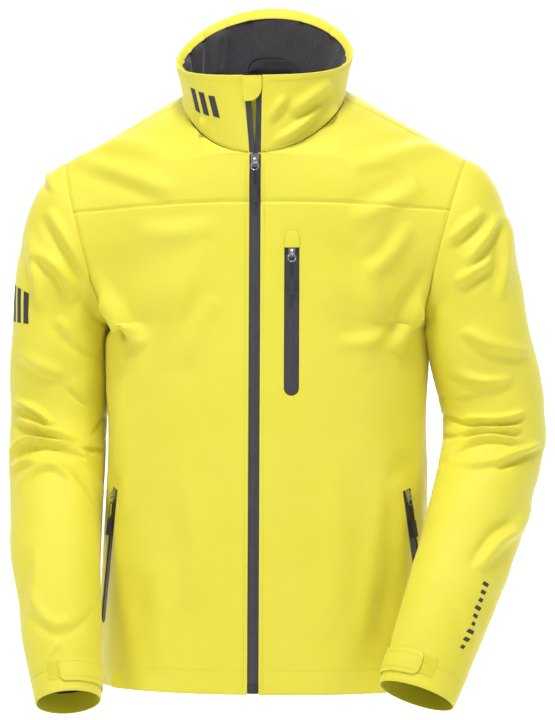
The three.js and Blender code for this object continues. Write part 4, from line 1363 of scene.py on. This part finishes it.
def chin_guard():
    """A folded tongue of shell cloth over the top of the right tape."""
    z = COLLAR_FRONT_Z - np.r_[0, 1.2, 3, np.linspace(6, 22, 7), 24, 26, 27.5, 28.6, 29.2]
    round_in = np.clip((COLLAR_FRONT_Z - z - 20) / 9.6, 0, 1)
    left = -14.0 + 2.4 * (1 - np.sqrt(1 - round_in**2))
    right = 8.5 - 14.0 * (1 - np.sqrt(1 - np.clip((COLLAR_FRONT_Z - z - 13) / 16.6, 0, 1) ** 1.8))
    a = np.linspace(0, 1, 17)[None, :]
    across = mix(left[:, None], right[:, None], a)
    up = np.repeat(z[:, None], 17, axis=1)
    puff = 0.9 * np.sin(math.pi * a) ** 0.5 + 0.5 * ripple(upright(across, up, 0)[0], 16, 8)
    points, normals = upright(across, up, -1.6 - puff * 0.8)
    guard = sheet("chin_guard_cloth", points, normals, 1.3, shell_cloth)
    fixed(guard, "jacket_body", "shell_cloth", "chin_guard")
    hung_sheet(guard, points)


def pocket_zips():
    for name in POCKETS:
        at = frames[name]
        for word, side in (("inner", -1), ("outer", 1)):
            shares = np.array([0.0, 0.05, 0.12, 0.3, 0.6, 1.0])
            a, d = np.meshgrid(shares, spaced(-3, at["length"] + 2, at["length"], 5))
            across = side * (0.12 + a * (SLOT_HALF + 2.2))
            curl = -(TAPE_DEPTH - 0.5 + 0.5 * ease(0, 0.3, a))
            points = in_zip(at, across, d, curl)
            normals = np.broadcast_to(at["outward"], points.shape)
            tape = sheet(f"{name}_{word}_ribbon", points, normals, TAPE_THICKNESS, zip_tape)
            fixed(tape, "jacket_body", "zip_tape", f"{name}_tapes")
            hung_sheet(tape, points)
            places = np.arange(1.0 + 0.8 * (side > 0), at["length"], 1.6)
            beside, behind = np.full((2, len(places)), [[side * -0.15], [-TAPE_DEPTH - 0.3]])
            ways = (at["across"], at["outward"], at["down"])
            centres = in_zip(at, beside, places, behind)
            rods(f"{name}_{word}_teeth", centres, ways, (0.7, 0.6, 0.5), "jacket_body")


def zip_garage():
    """The small domed hood over the top of the chest zip."""
    at = frames["chest_zip"]
    rise = np.r_[0, 0.8, 2.0, np.linspace(4, 12, 5), 14, 16, 17.6, 18.8, 19.6, 19.9]
    half = 8.6 * np.sqrt(np.clip(1 - (np.maximum(rise - 11.4, 0) / 8.6) ** 2, 0.0004, 1))
    a = np.linspace(-1, 1, 15)[None, :]
    across = half[:, None] * a
    down = np.repeat(1.2 - rise[:, None], 15, axis=1)
    puff = 1.5 + 0.7 * (1 - a**2) * np.clip(half[:, None] / 8.6, 0, 1)
    points = in_zip(at, across, down, puff)
    normals = np.broadcast_to(at["outward"], points.shape)
    hood = sheet("chest_zip_garage_cloth", points, normals, 1.2, shell_cloth)
    fixed(hood, "jacket_body", "shell_cloth", "chest_zip_garage")
    hung_sheet(hood, points)


# ---- Sleeves ----

CAP_BEND_LEAN = 35  # degrees below level, the way the cap's bend runs
ELBOW_BEND_LENGTH = 90

def sleeve_grid(name, rows, depth=0.0, pitch=PITCH):
    side = SLEEVES[name]["side"]
    turns = np.linspace(180, 540, int(round(372 / pitch)) + 1)
    a, b = np.meshgrid(turns, rows)
    points, normals = laid(sleeves[name], a, b, side, sleeve_folds(name), depth)
    return points, normals, b


def sleeve_pieces():
    for name in SLEEVES:
        arm_rows = np.unique(np.r_[spaced(0, SPLIT_AT, 250, PITCH), SPLIT_AT])
        low_rows = spaced(SPLIT_AT, 1.0, 430, PITCH)
        all_rows = np.unique(np.r_[arm_rows, low_rows])
        points, normals, b = sleeve_grid(name, all_rows)
        cuff = (1 - b) * SLEEVE_LENGTH - HEM_TURN
        points = rolled(points, normals, ["bottom"])
        points = rolled(points, normals, ["top"], 0.8, 2.5)
        points = grooved(points, normals, cuff)
        split = int(np.argmin(np.abs(all_rows - SPLIT_AT)))
        for word, low, high in (("cap", 0, split + 1), ("arm", split, len(all_rows))):
            part, out = points[low:high], normals[low:high]
            piece = sheet(f"{name}_sleeve_{word}_cloth", part, out, SHELL_THICKNESS, shell_cloth, True)
            node = f"{name}_upper_sleeve" if word == "cap" else f"{name}_forearm_sleeve"
            sleeve_joint(piece, name, word)
            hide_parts(node)
            hung_sheet(piece, part)
        sleeve_lining(name)
        cuff_pieces(name)


def sleeve_joint(piece, name, word):
    """Works out a bend line for the cap, from the armhole seam to the split ring, and for the arm, from that
    ring past the elbow, but uses neither; it only bakes the piece's transform into its mesh.
    """
    side = SLEEVES[name]["side"]
    turns = np.linspace(180, 540, 73)
    seam = sleeves[name](turns, np.zeros_like(turns))
    split = sleeves[name](turns, np.full_like(turns, SPLIT_AT))
    if word == "cap":
        lean = math.radians(CAP_BEND_LEAN)
        way = np.array([side * math.cos(lean), 0, -math.sin(lean)])
        start, end = way * ((seam @ way).max() - 3), way * (split @ way).min()
    else:
        start = np.array([0, 0, split[:, 2].min()])
        end = start - np.array([0, 0, ELBOW_BEND_LENGTH])
    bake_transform(piece)


def sleeve_lining(name):
    """A smoother tube inside each sleeve, kept clear of the dips in the shell."""
    shell = sleeve_folds(name)
    def calm(points, normals, turn, share):
        return 1.2 * np.minimum(shell(points, normals, turn, share), 0) - 2.0 * ease(0, 0.1, 0.965 - share)
    for word, low, high in (("cap", 0.03, SPLIT_AT), ("arm", SPLIT_AT, 0.965)):
        turns = np.linspace(180, 540, 75)
        a, b = np.meshgrid(turns, spaced(low, high, (high - low) * SLEEVE_LENGTH, 5, False))
        points, normals = laid(sleeves[name], a, b, SLEEVES[name]["side"], calm, SLEEVE_LINING_DEPTH)
        piece = sheet(f"{name}_sleeve_{word}_lining", points, normals, 0.7, lining_cloth, True)
        sleeve_joint(piece, name, word)
        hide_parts(f"{name}_upper_sleeve_lining" if word == "cap" else f"{name}_forearm_lining")
        hung_sheet(piece, points)


def cuff_pieces(name):
    """The turned-up cuff, its peel-back tab and the soft patch the tab closes onto."""
    side = SLEEVES[name]["side"]
    forearm = f"{name}_forearm_body"
    points, normals, _ = sleeve_grid(name, spaced(0.955, 0.9995, 31, 3), 1.5)
    # The cuff facing takes the darker copy of the shell cloth, as painted shade inside the cuff.
    facing = sheet(f"{name}_cuff_facing_cloth", points, normals, 0.9, shell_cloth_painted_shade, True)
    fixed(facing, forearm, "shell_cloth", f"{name}_cuff_band")
    hung_sheet(facing, points)

    folds = sleeve_folds(name)
    a, b = np.meshgrid(np.linspace(70, 157, 20), np.linspace(0.947, 0.978, 10))
    points, normals = laid(sleeves[name], a, b, side, folds, -0.7)
    patch = sheet(f"{name}_cuff_loop_ribbon", points, normals, 0.7, loop_tape)
    fixed(patch, forearm, "trim_tape", f"{name}_cuff_loop_patch")
    hung_sheet(patch, points)

    along = spaced(0, 1, 92, 3)
    edge = np.clip(1 - along * 92 / 11, 0, 1)
    half = 0.0205 * (0.45 + 0.55 * np.sqrt(1 - edge**2.6))
    share = np.linspace(-1, 1, 12)
    a = mix(90, 202.5, along)[None, :] + 0 * share[:, None]
    b = 0.9625 + share[:, None] * half[None, :]
    points, normals = laid(sleeves[name], a, b, side, folds)
    lift = 2.2 + 0.5 * (1 - along)[None, :] - 0.35 * share[:, None] ** 4
    tab_sheet = points + normals * col(lift)
    tab = sheet(f"{name}_cuff_tab_cloth", tab_sheet, normals, 1.5, shell_cloth)
    fixed(tab, f"{name}_cuff_tab_body", "shell_cloth", f"{name}_cuff_tab")
    hung_sheet(tab, tab_sheet)
    rim = [
        (tab_sheet[2:-2, 3], normals[2:-2, 3]),
        (tab_sheet[2, 3:], normals[2, 3:]),
        (tab_sheet[-3, 3:], normals[-3, 3:]),
    ]
    stitches(f"{name}_cuff_tab_stitches", rim, f"{name}_cuff_tab_body")


# ---- Stitch lines ----

def run_on(surface, a, b, out, folds, lift=0.05):
    a, b = np.broadcast_arrays(np.asarray(a, float), np.asarray(b, float))
    points, normals = laid(surface, a[None, :], b[None, :], out, folds, -lift)
    return points[0], normals[0]


def stitch_lines():
    runs = []
    across = np.linspace(0.005, 0.985, 160)
    up = np.linspace(0.004, AT_NECK - 0.01, 300)
    above_yoke = AT_YOKE + 0.0055
    for side in (1, -1):
        front = front_surface(side)
        folds = body_folds(-1)
        runs.append(run_on(front, across, above_yoke, side, folds))
        runs.append(run_on(front, across, row_at(HEM_TURN), side, folds, -0.25))
        runs.append(run_on(front, 0.011, up, side, folds))
        high = np.linspace(AT_ARMPIT + 0.02, 0.985, 110)
        runs.append(run_on(front, 0.982, high, side, folds))
        back = lambda u, v, side=side: body(side, 1, u, v)
        runs.append(run_on(back, across, above_yoke, -side, body_folds(1)))
        runs.append(run_on(back, across, row_at(HEM_TURN), -side, body_folds(1), -0.25))
        runs.append(run_on(back, 0.982, high, -side, body_folds(1)))
    stitches("body_stitches", runs, "jacket_body")
    round_collar = np.linspace(0.004, 0.996, 400)
    collar_runs = [run_on(collar, round_collar, h, 1, collar_folds) for h in (0.05, 0.93)]
    stitches("collar_stitches", collar_runs, "jacket_body")
    for name, sizes in SLEEVES.items():
        turns = np.linspace(0, 360, 240)
        at = 1 - HEM_TURN / SLEEVE_LENGTH
        cuff = run_on(sleeves[name], turns, at, sizes["side"], sleeve_folds(name), -0.25)
        stitches(f"{name}_cuff_stitches", [cuff], f"{name}_forearm_body")


# ---- Plain printed marks, in place of lettering ----

def printed(name, surface, a, b, out, folds, on):
    points, normals = laid(surface, a, b, out, folds, -0.22)
    mark = sheet(name, points, normals, 0.2, print_ink)
    return fixed(mark, on, "shell_cloth")


def slanted_bar(centre, width, low, high, slant, count=(5, 10)):
    """Places for a bar: across from its centre by width, up from low to high, leaning by slant."""
    s, t = np.meshgrid(np.linspace(-0.5, 0.5, count[0]), np.linspace(0, 1, count[1]))
    return centre + s * width + (t - 0.5) * slant, mix(low, high, t)


def marks():
    for i, centre in enumerate((0.882, 0.908, 0.934)):
        a, b = slanted_bar(centre, 0.0155, 0.36 + 0.02 * i, 0.74 - 0.02 * i, -0.006)
        printed(f"collar_mark_bar_{i + 1}", collar, a, b, 1, collar_folds, "jacket_body")
    for i, centre in enumerate((27, 41, 55)):
        a, b = slanted_bar(centre, 8.5, 0.245, 0.29, 4)
        printed(f"sleeve_mark_bar_{i + 1}", sleeves["right"], a, b, -1, sleeve_folds("right"),
                "right_upper_sleeve_body")
    for i in range(9):
        at = mix(0.795, 0.905, i / 8)
        a, b = slanted_bar(43, 9 - (i % 3) * 1.5, at, at + 0.0065, 1.5, (5, 4))
        printed(f"forearm_mark_dash_{i + 1}", sleeves["left"], a, b, 1, sleeve_folds("left"),
                "left_forearm_body")


# ---- CAD parts that stay, with better finishes ----

def refinish():
    for zip_name in ("main_zip", *POCKETS):
        for word, material, bevel in (
            ("slider", metal, 0.35),
            ("pull_ring", metal, 0.0),
            ("pull_cord", cord_finish, 0.0),
            ("pull_grip", grip_rubber, 1.0),
        ):
            finish_node(f"{zip_name}_{word}", material, bevel)
    finish_node("main_zip_retainer", zip_plastic, 0.7)
    finish_node("hang_loop", trim_tape, 0.4)


def finish_node(name, material, bevel):
    node = frame["nodes"][name]
    node.data.materials.clear()
    node.data.materials.append(material)
    if bevel:
        round_off = node.modifiers.new("rounded edges", "BEVEL")
        round_off.width = bevel * MM
        round_off.segments = 3
        round_off.limit_method = "ANGLE"
        round_off.angle_limit = math.radians(40)
    else:
        smooth_wire = node.modifiers.new("round wire", "SUBSURF")
        smooth_wire.levels = 2
        smooth_wire.render_levels = 2
    for polygon in node.data.polygons:
        polygon.use_smooth = True


# ---- Studio ----

def studio():
    """A pale floor that sweeps up behind the jacket, three soft lights and the camera."""
    low = to_frame([0, 0, 0])[2] - 0.42
    sweep = np.linspace(0, math.pi / 2, 14)
    near = [(y, 0.0) for y in np.linspace(-9, 1.2, 8)]
    far = [(1.2, 0.0), *((5 + 3 * math.sin(t), 3 - 3 * math.cos(t)) for t in sweep), (8.0, 12.0)]
    for name, line, glow in (("pale_floor", near, 0.12), ("pale_backdrop", far, 0.95)):
        verts = [(x, y, low + z) for x in (-12, 12) for y, z in line]
        count = len(line)
        faces = [[i, i + 1, i + 1 + count, i + count] for i in range(count - 1)]
        mesh = bpy.data.meshes.new(name)
        mesh.from_pydata(verts, [], faces)
        mesh.polygons.foreach_set("use_smooth", [True] * len(faces))
        floor = bpy.data.objects.new(name, mesh)
        bpy.context.scene.collection.objects.link(floor)
        paper = Finish(f"{name}_paper")
        paper.set(Base_Color=(0.93, 0.93, 0.93, 1), Roughness=0.9)
        paper.set(Emission_Color=(1, 1, 1, 1), Emission_Strength=glow)
        mesh.materials.append(paper.material)
    middle = Vector(to_frame([0, 0, VIEW_MIDDLE_Z]))
    for name, place, size, power in (
        ("soft_light_left", (-2.3, -2.5, 2.0), 1.5, 52),
        ("soft_light_right", (3.0, -2.3, 0.8), 1.2, 22),
        ("soft_light_top", (0.2, -1.2, 3.0), 0.8, 74),
        ("soft_light_back", (0.6, 3.4, 1.6), 2.0, 20),
    ):
        lamp = bpy.data.lights.new(name, "AREA")
        lamp.shape = "DISK"
        lamp.size = size
        lamp.energy = power
        light = bpy.data.objects.new(name, lamp)
        bpy.context.scene.collection.objects.link(light)
        light.location = middle + Vector(place)
        light.rotation_euler = (middle - light.location).to_track_quat("-Z", "Y").to_euler()
    world = bpy.data.worlds.new("studio_air")
    bpy.context.scene.world = world
    world.use_nodes = True
    world.node_tree.nodes["Background"].inputs["Color"].default_value = (1, 1, 1, 1)
    world.node_tree.nodes["Background"].inputs["Strength"].default_value = 0.26
    camera_data = bpy.data.cameras.new("camera")
    camera_data.sensor_width = 36
    camera_data.lens = 36 * VIEW_DISTANCE / VIEW_HEIGHT
    camera_data.clip_end = 60
    camera = bpy.data.objects.new("camera", camera_data)
    bpy.context.scene.collection.objects.link(camera)
    target = VIEW_RIGHT * VIEW_MIDDLE_X + np.array([0, 0, VIEW_MIDDLE_Z])
    camera.location = to_frame(target - VIEW_AWAY * VIEW_DISTANCE)
    camera.rotation_euler = (math.pi / 2, 0, VIEW_TURN)
    bpy.context.scene.camera = camera
    bpy.context.scene.view_settings.view_transform = "Standard"


studio()
front_panels()
back_pieces()
body_linings()
pocket_bags()
collar_pieces()
main_zip()
storm_flap()
chin_guard()
pocket_zips()
zip_garage()
sleeve_pieces()
stitch_lines()
marks()
refinish()
